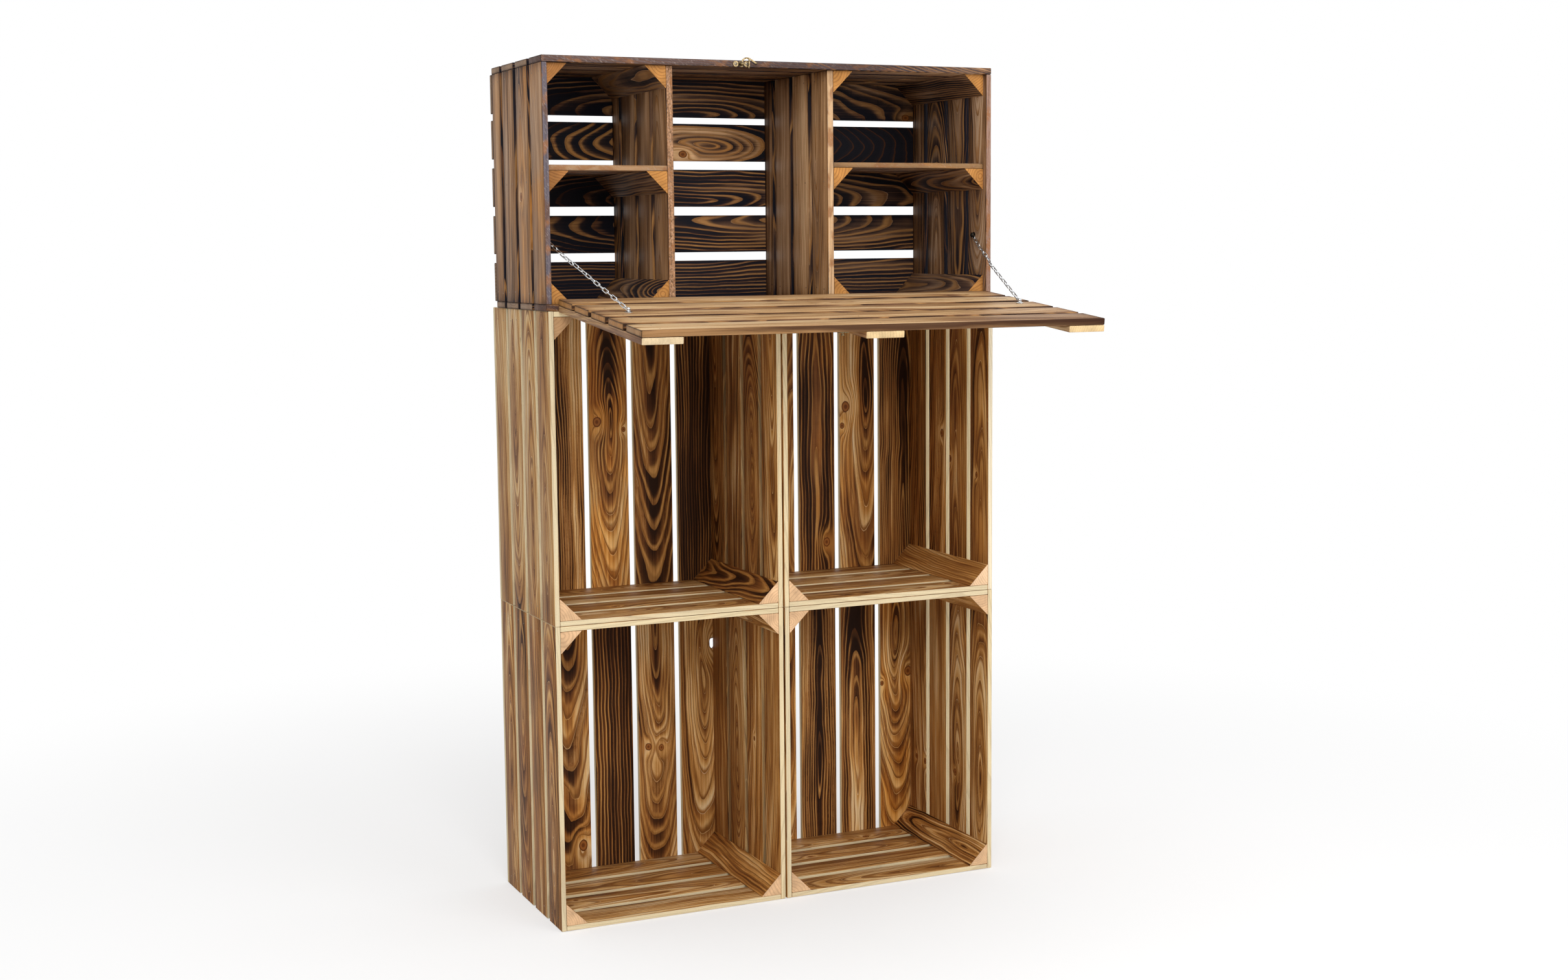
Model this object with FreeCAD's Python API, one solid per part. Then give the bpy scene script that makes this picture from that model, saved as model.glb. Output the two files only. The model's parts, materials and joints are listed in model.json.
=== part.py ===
import FreeCAD, Part
import math
import os
from FreeCAD import Vector as V

# Bar cabinet built from four upright slatted crates, with a wide box on top
# whose front flap folds down into a shelf held by two chains.
# Millimetres. +X right as seen from the front, the front faces -Y, +Z up.
# Origin: on the floor, at the centre of the crates' footprint.

# ---------------------------------------------------------------- crates
CRATE_WIDTH = 398.0
CRATE_HEIGHT = 500.0
CRATE_GAP = 2.6                 # between the left and the right stack
CRATE_BOARD = 8.8               # board thickness
SIDE_DEPTH = 291.4              # side walls, without the back boards
SLAT_WIDTH = 64.0               # boards of the side walls and the ends
SLATS_PER_PANEL = 4
BACK_SLATS = 5
BACK_GAP = 10.0
POST_LEG = 36.0                 # legs of the triangular corner posts
KNOT_HOLE = (-9.6, 390.5, 6.6, 10.0)     # x, z, half width, half height of a fallen-out knot

# ------------------------------------------------------------- upper box
BOX_LEFT = -401.5
BOX_WIDTH = 797.0
BOX_HEIGHT = 394.7
BOX_SETBACK = 1.0               # box front behind the crates' fronts
BOX_DEPTH = 267.3               # without the back boards
BOX_BOARD = 10.7                # top, bottom and back boards
BOX_WALL = 9.4                  # side wall boards
BOX_SLAT = 63.5                 # full-width boards; the last one is ripped to fit
BOX_SLAT_GAP = 10.5
BOX_BACK_SLAT = 64.0
BOX_BACK_GAPS = (14.0, 14.5, 14.3, 10.5)
RECESS = 11.0                   # dividers, shelves and blocks behind the front edge
DIVIDER = 11.2
LEFT_DIVIDER_X = -191.5
RIGHT_DIVIDER_X = 91.7
SHELF = 9.0
LEFT_SHELF_TOP = 1227.5
RIGHT_SHELF_TOP = 1235.3
BLOCK_LEG = 36.0

# ------------------------------------------------------------------ flap
FLAP_LEFT = -382.4
FLAP_RIGHT = 385.4
FLAP_BOARD = 10.7
FLAP_SLAT = 64.3
FLAP_SLAT_GAP = 12.0
FLAP_SLATS = 5
CLEAT_WIDTH = 64.0
CLEAT = 10.6
MIDDLE_CLEAT_X = -29.2
FLAP_BOTTOM_Z = 1012.4          # lower edge of the closed flap
FLAP_REBATE_GAP = 0.5           # closed flap to the dividers
FLAP_DROOP = 5.7                # the open shelf hangs this far below level
HINGE_Y_OFFSET = 1.5            # hinge axis behind the crates' fronts
HINGE_Z = 1009.5
HINGE_LEAF = 0.8
HINGE_LENGTH = 50.0
HINGE_CENTRES = (-250.0, 3.0, 250.0)
KNUCKLE_RADIUS = 1.9
KNUCKLES = 5
PIN_RADIUS = 0.9
PIN_PROUD = 0.3                 # the pin's ends past the knuckles
HINGE_SIDE_GAP = 0.2            # between knuckles, and from the knuckles to the leaf
HINGE_LEAF_SETBACK = 0.6        # leaf ends behind the closed flap's inner face
NOTCH_ROOM = 0.5                # air around the knuckles in the floor board
HINGE_SCREWS = (-17.0, 0.0, 17.0)   # along each leaf, from its middle
HINGE_SCREW_Y = 5.8             # screws behind the hinge axis
HINGE_SCREW_LENGTH = 8.0
HINGE_SCREW_SHANK = 1.2

# ----------------------------------------------------------------- latch
LATCH_X = -66.5
LATCH_Z = 1388.8
LATCH_PLATE = 1.0
LATCH_LOBE = 4.6                # radius of the plate's two ears
LATCH_LOBE_SPACING = 19.0
LATCH_PIN_RADIUS = 1.2
LATCH_KNOB_RADIUS = 3.5
HOOK_THICKNESS = 1.6
HOOK_BAND = 2.4
HOOK_STANDOFF = 1.1             # plate to hook, so that the hook passes over the screw heads
HOOK_AIR = 0.2                  # hook to the boss behind it and the knob in front
HOOK_EYE = 3.2
LATCH_SCREW = (2.4, 0.9, 0.7)   # head radius, height, width of the cross recess
HOOK_GRIP = 2.0
# Centre lines of the raised hook as x, z from its pivot: the arm over the arch, the tooth.
HOOK_ARM = ((0.0, 0.0), (2.2, 6.2), (8.6, 9.4), (14.2, 8.0), (24.8, 1.6))
HOOK_TOOTH = ((12.7, 8.6), (12.95, 1.0), (12.5, -5.8))
TOOTH_BAND = 2.0
GRIP_PLACE = (25.4, 1.2)
STUD_DROP = 10.0                # stud axis below the hook's pivot
STUD_PLATE = (16.0, 0.8, 6.2)   # width, thickness, height
STUD_NECK = 1.1
STUD_HEAD = 2.4
STUD_HEAD_HEIGHT = 1.3
STUD_SCREW_SPACING = 11.2

# --------------------------------------------------------- joining screws
JOINING_SHANK = 2.0
JOINING_HEAD = 3.8
JOINING_HEAD_HEIGHT = 2.2
JOINING_POINT_COVER = 1.5       # wood left over the screw's point

# ---------------------------------------------------------------- chains
WIRE = 0.8                      # radius of the link wire
LINK_INNER = 12.6               # inner length of a link
LINK_PITCH = 12.4
LINK_INNER_WIDTH = 3.3
WALL_STANDOFF = 2.6             # chain centre line to the wall, at the screw
SHELF_STANDOFF = 3.0            # chain centre line to the shelf, at the screw
ANCHOR_SHANK = 1.5
ANCHOR_WASHER_HEIGHT = 1.0
WALL_ANCHOR = {"washer": 5.2, "body": 4.5, "head": 4.3, "head_height": 2.4, "slot": 1.0}
SHELF_ANCHOR = {"washer": 6.0, "body": 5.6, "head": 3.4, "head_height": 2.2, "slot": 0.9}
MEETING_OFFSET = 2.2            # the end links of the two halves lie side by side
# Each chain folds as three straight parts: one on the shelf, a middle one and one on
# the wall. Links and rise in degrees are given in that order.
CHAINS = {
    "right": {"shelf_x": 349.0, "from_edge": 171.5, "links": (11, 5, 3),
              "rises": (24.5, 28.0, 32.0), "folded_y": 28.0},
    "left": {"shelf_x": -330.5, "from_edge": 174.0, "links": (12, 4, 3),
             "rises": (25.4, 27.0, 28.6), "folded_y": 28.9},
}

EDGE = 0.9                      # small chamfer along every board edge

# --------------------------------------------------- derived dimensions
FRONT_Y = -(SIDE_DEPTH + CRATE_BOARD) / 2
SIDE_BACK_Y = FRONT_Y + SIDE_DEPTH
BACK_Y = SIDE_BACK_Y + CRATE_BOARD
BOX_FRONT_Y = FRONT_Y + BOX_SETBACK
BOX_REAR_Y = BOX_FRONT_Y + BOX_DEPTH
BOX_RIGHT = BOX_LEFT + BOX_WIDTH
BOX_BASE_Z = 2 * CRATE_HEIGHT
BOX_TOP_Z = BOX_BASE_Z + BOX_HEIGHT
BOX_FLOOR_Z = BOX_BASE_Z + BOX_BOARD
BOX_CEILING_Z = BOX_TOP_Z - BOX_BOARD
INNER_LEFT = BOX_LEFT + BOX_WALL
INNER_RIGHT = BOX_RIGHT - BOX_WALL
RECESS_Y = BOX_FRONT_Y + RECESS
HINGE_Y = FRONT_Y + HINGE_Y_OFFSET
HINGE_POINT = V(0, HINGE_Y, HINGE_Z)
CLOSED_INNER_Y = RECESS_Y - FLAP_REBATE_GAP
CLOSED_OUTER_Y = CLOSED_INNER_Y - FLAP_BOARD
FLAP_HEIGHT = FLAP_SLATS * FLAP_SLAT + (FLAP_SLATS - 1) * FLAP_SLAT_GAP
OPEN_ANGLE = 90.0 + FLAP_DROOP
STUD_Z = LATCH_Z - STUD_DROP
FIRST_CROWN = -3 * WIRE         # wire centre of the first link's end, behind its screw's axis
HALF_LINK_OVERLAP = (LINK_INNER + 2 * WIRE - LINK_PITCH) / 2


# ------------------------------------------------------------- helpers
def block(x0, x1, y0, y1, z0, z1, edge=EDGE):
    """A board between two corners, with all edges chamfered."""
    shape = Part.makeBox(x1 - x0, y1 - y0, z1 - z0, V(x0, y0, z0))
    if edge:
        shape = shape.makeChamfer(edge, shape.Edges)
    return shape


def cylinder(radius, start, end):
    axis = end.sub(start)
    return Part.makeCylinder(radius, axis.Length, start, axis)


def prism(corners, vector):
    """A straight prism from a closed outline of corners."""
    outline = Part.makePolygon(corners + [corners[0]])
    return Part.Face(outline).extrude(vector)


def open_flap(shape):
    """Turn a piece of the closed flap into the folded-out position."""
    turned = shape.copy()
    turned.rotate(HINGE_POINT, V(1, 0, 0), OPEN_ANGLE)
    return turned


def spans(start, widths, gaps):
    """Lower and upper bound of boards laid side by side."""
    result = []
    place = start
    for number, width in enumerate(widths):
        result.append((place, place + width))
        if number < len(gaps):
            place += width + gaps[number]
    return result


def even_spans(start, end, count, width):
    gap = (end - start - count * width) / (count - 1)
    return spans(start, [width] * count, [gap] * (count - 1))


def ripped_spans(start, end, width, gap):
    """Full boards from the front, and a last one ripped to the rear edge."""
    result = []
    place = start
    while end - place > width:
        result.append((place, place + width))
        place += width + gap
    result.append((place, end))
    return result


NODES = {}


def add(name, solids):
    NODES[name] = solids


# -------------------------------------------------------------- crates
def corner_post(x, z, into_x, into_z, y0, y1, leg):
    """Triangular post in a corner; into_x and into_z point into the crate."""
    corners = [V(x, y0, z), V(x + into_x * leg, y0, z), V(x, y0, z + into_z * leg)]
    return prism(corners, V(0, y1 - y0, 0))


def back_slat_with_knot_hole(slat):
    x, z, half_width, half_height = KNOT_HOLE
    centre = V(x, SIDE_BACK_Y - CRATE_BOARD / 2, z)
    rim = Part.Ellipse(centre + V(0, 0, half_height), centre + V(half_width, 0, 0), centre)
    hole = Part.Face(Part.Wire([rim.toShape()])).extrude(V(0, 2 * CRATE_BOARD, 0))
    return slat.cut(hole)


def crate(name, left, base, knot_hole=False):
    right = left + CRATE_WIDTH
    top = base + CRATE_HEIGHT
    inner_left = left + CRATE_BOARD
    inner_right = right - CRATE_BOARD
    depth_spans = even_spans(FRONT_Y, SIDE_BACK_Y, SLATS_PER_PANEL, SLAT_WIDTH)
    walls = (("left_side", left, inner_left), ("right_side", inner_right, right))
    for side, x0, x1 in walls:
        add(name + side, [block(x0, x1, y0, y1, base, top) for y0, y1 in depth_spans])
    ends = (("bottom_end", base, base + CRATE_BOARD), ("top_end", top - CRATE_BOARD, top))
    for end, z0, z1 in ends:
        slats = [block(inner_left, inner_right, y0, y1, z0, z1) for y0, y1 in depth_spans]
        add(name + end, slats)
    width = (CRATE_WIDTH - (BACK_SLATS - 1) * BACK_GAP) / BACK_SLATS
    backs = []
    for x0, x1 in even_spans(left, right, BACK_SLATS, width):
        slat = block(x0, x1, SIDE_BACK_Y, BACK_Y, base, top)
        if knot_hole and x0 < KNOT_HOLE[0] < x1:
            slat = back_slat_with_knot_hole(slat)
        backs.append(slat)
    add(name + "back_slats", backs)
    floor = base + CRATE_BOARD
    ceiling = top - CRATE_BOARD
    posts = []
    for x, into_x in ((inner_left, 1), (inner_right, -1)):
        for z, into_z in ((floor, 1), (ceiling, -1)):
            posts.append(corner_post(x, z, into_x, into_z, FRONT_Y, SIDE_BACK_Y, POST_LEG))
    add(name + "corner_posts", posts)


def all_crates():
    left = -CRATE_GAP / 2 - CRATE_WIDTH
    right = CRATE_GAP / 2
    crate("lower_left_", left, 0.0, knot_hole=True)
    crate("lower_right_", right, 0.0)
    crate("upper_left_", left, CRATE_HEIGHT)
    crate("upper_right_", right, CRATE_HEIGHT)


# ----------------------------------------------------------- upper box
def hinge_notch(slat):
    """Clear the hinge knuckles at the front upper corner of the floor board."""
    past_edge = 1.0
    room = KNUCKLE_RADIUS + NOTCH_ROOM
    for centre in HINGE_CENTRES:
        half = HINGE_LENGTH / 2 + NOTCH_ROOM
        depth = HINGE_Y + room - BOX_FRONT_Y + past_edge
        height = BOX_FLOOR_Z - HINGE_Z + room + past_edge
        corner = V(centre - half, BOX_FRONT_Y - past_edge, HINGE_Z - room)
        slat = slat.cut(Part.makeBox(2 * half, depth, height, corner))
    return slat


def upper_box():
    depth_spans = ripped_spans(BOX_FRONT_Y, BOX_REAR_Y, BOX_SLAT, BOX_SLAT_GAP)
    floor = [block(BOX_LEFT, BOX_RIGHT, y0, y1, BOX_BASE_Z, BOX_FLOOR_Z)
             for y0, y1 in depth_spans]
    floor[0] = hinge_notch(floor[0])
    add("box_bottom_boards", floor)
    add("box_top_boards", [block(BOX_LEFT, BOX_RIGHT, y0, y1, BOX_CEILING_Z, BOX_TOP_Z)
                           for y0, y1 in depth_spans])
    for side, x0, x1 in (("left", BOX_LEFT, INNER_LEFT), ("right", INNER_RIGHT, BOX_RIGHT)):
        add("box_%s_side" % side, [block(x0, x1, y0, y1, BOX_FLOOR_Z, BOX_CEILING_Z)
                                   for y0, y1 in depth_spans])
    inner_spans = ripped_spans(RECESS_Y, BOX_REAR_Y, BOX_SLAT, BOX_SLAT_GAP)
    for side, x0 in (("left", LEFT_DIVIDER_X), ("right", RIGHT_DIVIDER_X)):
        boards = [block(x0, x0 + DIVIDER, y0, y1, BOX_FLOOR_Z, BOX_CEILING_Z)
                  for y0, y1 in inner_spans]
        add("%s_divider" % side, boards)
    back_spans = spans(BOX_FLOOR_Z, [BOX_BACK_SLAT] * 5, BOX_BACK_GAPS)
    add("box_back_boards", [block(BOX_LEFT, BOX_RIGHT, BOX_REAR_Y, BOX_REAR_Y + BOX_BOARD, z0, z1)
                            for z0, z1 in back_spans])
    compartments = (("left", INNER_LEFT, LEFT_DIVIDER_X, LEFT_SHELF_TOP),
                    ("right", RIGHT_DIVIDER_X + DIVIDER, INNER_RIGHT, RIGHT_SHELF_TOP))
    for side, x0, x1, shelf_top in compartments:
        add("%s_shelf" % side, [block(x0, x1, y0, y1, shelf_top - SHELF, shelf_top)
                                for y0, y1 in inner_spans])
        blocks = []
        for x, into_x in ((x0, 1), (x1, -1)):
            for z, into_z in ((BOX_FLOOR_Z, 1), (BOX_CEILING_Z, -1), (shelf_top - SHELF, -1)):
                blocks.append(corner_post(x, z, into_x, into_z, RECESS_Y, BOX_REAR_Y, BLOCK_LEG))
        add("%s_blocks" % side, blocks)


# ---------------------------------------------------------------- flap
def flap():
    height_spans = spans(FLAP_BOTTOM_Z, [FLAP_SLAT] * FLAP_SLATS,
                         [FLAP_SLAT_GAP] * (FLAP_SLATS - 1))
    for number, (z0, z1) in enumerate(height_spans):
        slat = block(FLAP_LEFT, FLAP_RIGHT, CLOSED_OUTER_Y, CLOSED_INNER_Y, z0, z1)
        add("flap_board_%d" % (number + 1), [open_flap(slat)])
    top = FLAP_BOTTOM_Z + FLAP_HEIGHT
    cleats = (("left", FLAP_LEFT), ("middle", MIDDLE_CLEAT_X),
              ("right", FLAP_RIGHT - CLEAT_WIDTH))
    for side, x0 in cleats:
        cleat = block(x0, x0 + CLEAT_WIDTH, CLOSED_OUTER_Y - CLEAT, CLOSED_OUTER_Y,
                      FLAP_BOTTOM_Z, top, edge=EDGE / 2)
        add("flap_cleat_%s" % side, [open_flap(cleat)])


def hinges():
    """Butt hinges: one leaf on the box floor, one on the flap's lower edge."""
    box_leaves, flap_leaves, pins = [], [], []
    running = 0.05
    weld = 0.2
    length = HINGE_LENGTH / KNUCKLES
    leaf_start_y = HINGE_Y + KNUCKLE_RADIUS + HINGE_SIDE_GAP
    leaf_end_y = CLOSED_INNER_Y - HINGE_LEAF_SETBACK
    flap_leaf_z = FLAP_BOTTOM_Z - HINGE_LEAF
    along = V(HINGE_LENGTH, 0, 0)
    proud = V(PIN_PROUD, 0, 0)
    for centre in HINGE_CENTRES:
        left = centre - HINGE_LENGTH / 2
        start = V(left, HINGE_Y, HINGE_Z)
        box_leaf = Part.makeBox(HINGE_LENGTH, leaf_end_y - leaf_start_y, HINGE_LEAF,
                                V(left, leaf_start_y, BOX_FLOOR_Z))
        flap_leaf = Part.makeBox(HINGE_LENGTH, leaf_end_y - HINGE_Y, HINGE_LEAF,
                                 V(left, HINGE_Y, flap_leaf_z))
        box_parts, flap_parts = [box_leaf], [flap_leaf]
        bore_hole = cylinder(PIN_RADIUS + running, start, start + along)
        for number in range(KNUCKLES):
            x0 = left + number * length + (HINGE_SIDE_GAP if number else 0)
            x1 = left + (number + 1) * length
            knuckle = cylinder(KNUCKLE_RADIUS, V(x0, HINGE_Y, HINGE_Z), V(x1, HINGE_Y, HINGE_Z))
            if number % 2 == 0:
                web = Part.makeBox(x1 - x0, leaf_start_y - HINGE_Y + weld, HINGE_LEAF,
                                   V(x0, HINGE_Y, BOX_FLOOR_Z))
                box_parts.append(knuckle.fuse(web).cut(bore_hole))
            else:
                web = Part.makeBox(x1 - x0, KNUCKLE_RADIUS - 2 * weld,
                                   flap_leaf_z - HINGE_Z + weld / 2, V(x0, HINGE_Y, HINGE_Z))
                flap_parts.append(knuckle.fuse(web).cut(bore_hole))
        box_leaves.append(box_parts[0].fuse(box_parts[1:]).removeSplitter())
        flap_leaves.append(open_flap(flap_parts[0].fuse(flap_parts[1:]).removeSplitter()))
        pins.append(cylinder(PIN_RADIUS, start - proud, start + along + proud))
    add("hinge_box_leaves", box_leaves)
    add("hinge_flap_leaves", flap_leaves)
    add("hinge_pins", pins)


# --------------------------------------------------------------- latch
def dome_screw(place, outward, radius, height, slot):
    """A round screw head with a cross recess; outward points away from the surface."""
    sphere_radius = (radius * radius + height * height) / (2 * height)
    centre = place + outward * (height - sphere_radius)
    ball = Part.makeSphere(sphere_radius, centre)
    keep = Part.makeCylinder(radius * 1.2, height * 1.5, place, outward)
    head = ball.common(keep)
    across = V(0, 0, 1) if abs(outward.z) < 0.7 else V(1, 0, 0)
    other = outward.cross(across).normalize()
    across = other.cross(outward).normalize()
    for first, second in ((across, other), (other, across)):
        long_half, thin_half = radius * 0.6, slot / 2
        base = place + outward * (height * 0.45)
        corners = [base + first * (a * long_half) + second * (b * thin_half)
                   for a, b in ((-1, -1), (1, -1), (1, 1), (-1, 1))]
        head = head.cut(prism(corners, outward * height))
    return head


def outward_point(x, y_out, z):
    """A point in front of the box's front face by y_out."""
    return V(x, BOX_FRONT_Y - y_out, z)


def hook_line(pairs):
    """Points of a centre line of the hook, from its pivot, in the plane y = 0."""
    return [V(x, 0, z) for x, z in pairs]


def band(points, width, y0, thickness):
    """A flat band of constant width that follows straight runs, round at the joints."""
    pieces = []
    for start, end in zip(points[:-1], points[1:]):
        along = end.sub(start)
        along.normalize()
        side = V(-along.z, 0, along.x) * (width / 2)
        corners = [start + side, end + side, end - side, start - side]
        pieces.append(prism([V(p.x, y0, p.z) for p in corners], V(0, thickness, 0)))
    for point in points[1:]:
        pieces.append(Part.makeCylinder(width / 2, thickness, V(point.x, y0, point.z), V(0, 1, 0)))
    return pieces[0].fuse(pieces[1:]).removeSplitter()


def smooth(points, steps):
    """Points along the interpolating curve through a few outline points."""
    curve = Part.BSplineCurve()
    curve.interpolate(points)
    first, last = curve.FirstParameter, curve.LastParameter
    return [curve.value(first + (last - first) * k / steps) for k in range(steps + 1)]


def latch():
    outward, inward = V(0, -1, 0), V(0, 1, 0)
    half = LATCH_LOBE_SPACING / 2
    lobes = [Part.makeCylinder(LATCH_LOBE, LATCH_PLATE, outward_point(x, LATCH_PLATE, LATCH_Z),
                               inward) for x in (LATCH_X - half, LATCH_X, LATCH_X + half)]
    running = 0.06
    hook_back = LATCH_PLATE + HOOK_STANDOFF
    hook_front = hook_back + HOOK_THICKNESS
    knob_back = outward_point(LATCH_X, hook_front + HOOK_AIR, LATCH_Z)
    pin = cylinder(LATCH_PIN_RADIUS, outward_point(LATCH_X, LATCH_PLATE / 2, LATCH_Z),
                   knob_back + outward * HOOK_AIR * 4)
    knob_centre = outward_point(LATCH_X, hook_front + HOOK_THICKNESS, LATCH_Z)
    boss = cylinder(2 * LATCH_PIN_RADIUS, outward_point(LATCH_X, LATCH_PLATE / 2, LATCH_Z),
                    outward_point(LATCH_X, hook_back - HOOK_AIR, LATCH_Z))
    keep = Part.makeCylinder(2 * LATCH_KNOB_RADIUS, 2 * LATCH_KNOB_RADIUS, knob_back, outward)
    knob = Part.makeSphere(LATCH_KNOB_RADIUS, knob_centre).common(keep)
    add("latch_plate", [lobes[0].fuse(lobes[1:] + [boss, pin, knob]).removeSplitter()])

    y0 = BOX_FRONT_Y - hook_front
    arm = band(smooth(hook_line(HOOK_ARM), 14), HOOK_BAND, y0, HOOK_THICKNESS)
    tooth = band(smooth(hook_line(HOOK_TOOTH), 5), TOOTH_BAND, y0, HOOK_THICKNESS)
    eye = Part.makeCylinder(HOOK_EYE, HOOK_THICKNESS, V(0, y0, 0), inward)
    grip = Part.makeSphere(HOOK_GRIP, V(GRIP_PLACE[0], y0 + HOOK_THICKNESS / 2, GRIP_PLACE[1]))
    hook = eye.fuse([arm, tooth, grip]).removeSplitter()
    bore = Part.makeCylinder(LATCH_PIN_RADIUS + running, 4 * HOOK_THICKNESS,
                             V(0, y0 - HOOK_THICKNESS, 0), inward)
    hook = hook.cut(bore)
    hook.translate(V(LATCH_X, 0, LATCH_Z))
    add("latch_hook", [hook])

    width, thickness, height = STUD_PLATE
    plate = Part.makeBox(width, thickness, height,
                         V(LATCH_X - width / 2, CLOSED_OUTER_Y - thickness, STUD_Z - height / 2))
    face = V(LATCH_X, CLOSED_OUTER_Y, STUD_Z)
    flap_inset = BOX_FRONT_Y - CLOSED_OUTER_Y
    head_start = face + outward * (hook_front + 1.5 * HOOK_AIR - flap_inset)
    neck = cylinder(STUD_NECK, face, head_start + outward * STUD_HEAD_HEIGHT / 2)
    head = Part.makeCylinder(STUD_HEAD, STUD_HEAD_HEIGHT, head_start, outward)
    add("latch_stud", [open_flap(plate.fuse([neck, head]).removeSplitter())])


# -------------------------------------------------------------- screws
def flush_screw(head, way):
    """A countersunk hinge screw; head is the middle of its flush face, way goes into the wood."""
    cone = Part.makeCone(HINGE_SCREW_SHANK + HINGE_LEAF, HINGE_SCREW_SHANK, HINGE_LEAF, head, way)
    return cone.fuse(cylinder(HINGE_SCREW_SHANK, head, head + way * HINGE_SCREW_LENGTH))


def seat_screws(screws, names):
    """Cut the screws' own holes into the pieces that they go through."""
    for name in names:
        seated = []
        for solid in NODES[name]:
            for screw in screws:
                if solid.BoundBox.intersect(screw.BoundBox):
                    solid = solid.cut(screw)
            seated.append(solid)
        NODES[name] = seated


def small_screws():
    outward, up, down = V(0, -1, 0), V(0, 0, 1), V(0, 0, -1)
    half = LATCH_LOBE_SPACING / 2
    latch_screws = [dome_screw(outward_point(x, LATCH_PLATE, LATCH_Z), outward, *LATCH_SCREW)
                    for x in (LATCH_X - half, LATCH_X + half)]
    box_screws, flap_screws = [], []
    for centre in HINGE_CENTRES:
        for shift in HINGE_SCREWS:
            x, y = centre + shift, HINGE_Y + HINGE_SCREW_Y
            box_screws.append(flush_screw(V(x, y, BOX_FLOOR_Z + HINGE_LEAF), down))
            flap_screws.append(open_flap(flush_screw(V(x, y, FLAP_BOTTOM_Z - HINGE_LEAF), up)))
    seat_screws(box_screws, ("box_bottom_boards", "hinge_box_leaves"))
    seat_screws(flap_screws, ("flap_board_1", "hinge_flap_leaves"))
    stud_screws = []
    for x in (LATCH_X - STUD_SCREW_SPACING / 2, LATCH_X + STUD_SCREW_SPACING / 2):
        place = V(x, CLOSED_OUTER_Y - STUD_PLATE[1], STUD_Z)
        stud_screws.append(open_flap(dome_screw(place, outward, 1.5, 0.8, 0.4)))
    add("box_small_screws", latch_screws + box_screws)
    add("flap_small_screws", flap_screws + stud_screws)


def joining_screw(under_head, way, length):
    """A round-headed screw; under_head lies on the face that the head is on."""
    shank = cylinder(JOINING_SHANK, under_head, under_head + way * length)
    head = cylinder(JOINING_HEAD, under_head, under_head - way * JOINING_HEAD_HEIGHT)
    return shank.fuse(head)


def joining_screws():
    """Screws that hold the four crates and the box together."""
    screws = []
    depth_spans = even_spans(FRONT_Y, SIDE_BACK_Y, SLATS_PER_PANEL, SLAT_WIDTH)
    middles = [(low + high) / 2 for low, high in depth_spans[1:3]]
    wall = CRATE_GAP / 2 + CRATE_BOARD
    across = 2 * CRATE_BOARD + CRATE_GAP - JOINING_POINT_COVER
    for base in (0.0, CRATE_HEIGHT):
        for y in middles:
            start = V(wall, y, base + CRATE_HEIGHT / 2)
            screws.append(joining_screw(start, V(-1, 0, 0), across))
    stack_middle = CRATE_GAP / 2 + CRATE_WIDTH / 2
    for level, thickness in ((CRATE_HEIGHT, CRATE_BOARD), (2 * CRATE_HEIGHT, BOX_BOARD)):
        for x in (-stack_middle, stack_middle):
            start = V(x, middles[0], level - CRATE_BOARD)
            length = CRATE_BOARD + thickness - JOINING_POINT_COVER
            screws.append(joining_screw(start, V(0, 0, 1), length))
    crate_nodes = [name for name in NODES if name.startswith(("lower_", "upper_"))]
    seat_screws(screws, crate_nodes + ["box_bottom_boards"])
    add("joining_screws", screws)


# -------------------------------------------------------------- chains
def unit(vector):
    result = V(vector)
    result.normalize()
    return result


def link(centre, along, across):
    """One link: a wire loop with its long axis along and its width across."""
    bow = LINK_INNER_WIDTH / 2 + WIRE
    half = LINK_INNER / 2 + WIRE - bow
    normal = along.cross(across)
    pieces = []
    for sign in (1, -1):
        bow_centre = centre + along * (sign * half)
        ring = Part.makeTorus(bow, WIRE, bow_centre, normal)
        keep = Part.makeBox(4 * bow, 4 * bow, 4 * bow, V(0, -2 * bow, -2 * bow))
        keep.Placement = FreeCAD.Placement(
            bow_centre, FreeCAD.Rotation(along * sign, across, normal * sign, "XYZ"))
        pieces.append(ring.common(keep))
        leg = centre + across * (sign * bow)
        pieces.append(cylinder(WIRE, leg - along * half, leg + along * half))
    return pieces[0].fuse(pieces[1:]).removeSplitter()


def link_row(start, along, across, first, count, twist=0.0):
    """Links number first to first + count - 1 on a line from a screw at start.

    Every second link stands across the others; twist turns each link a little further.
    """
    links = []
    for number in range(first, first + count):
        centre = start + along * (LINK_INNER / 2 + FIRST_CROWN + WIRE + number * LINK_PITCH)
        turn = FreeCAD.Rotation(along, 90.0 * (number % 2) + twist * (number - first))
        links.append(link(centre, along, turn.multVec(across)))
    return links


def shelf_frame():
    """Rear edge, down-slope direction and upward normal of the open shelf's top."""
    edge = open_flap(Part.Vertex(0, CLOSED_INNER_Y, FLAP_BOTTOM_Z)).Point
    droop = math.radians(FLAP_DROOP)
    slope = V(0, -math.cos(droop), -math.sin(droop))
    normal = V(0, -math.sin(droop), math.cos(droop))
    return V(edge), slope, normal


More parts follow.
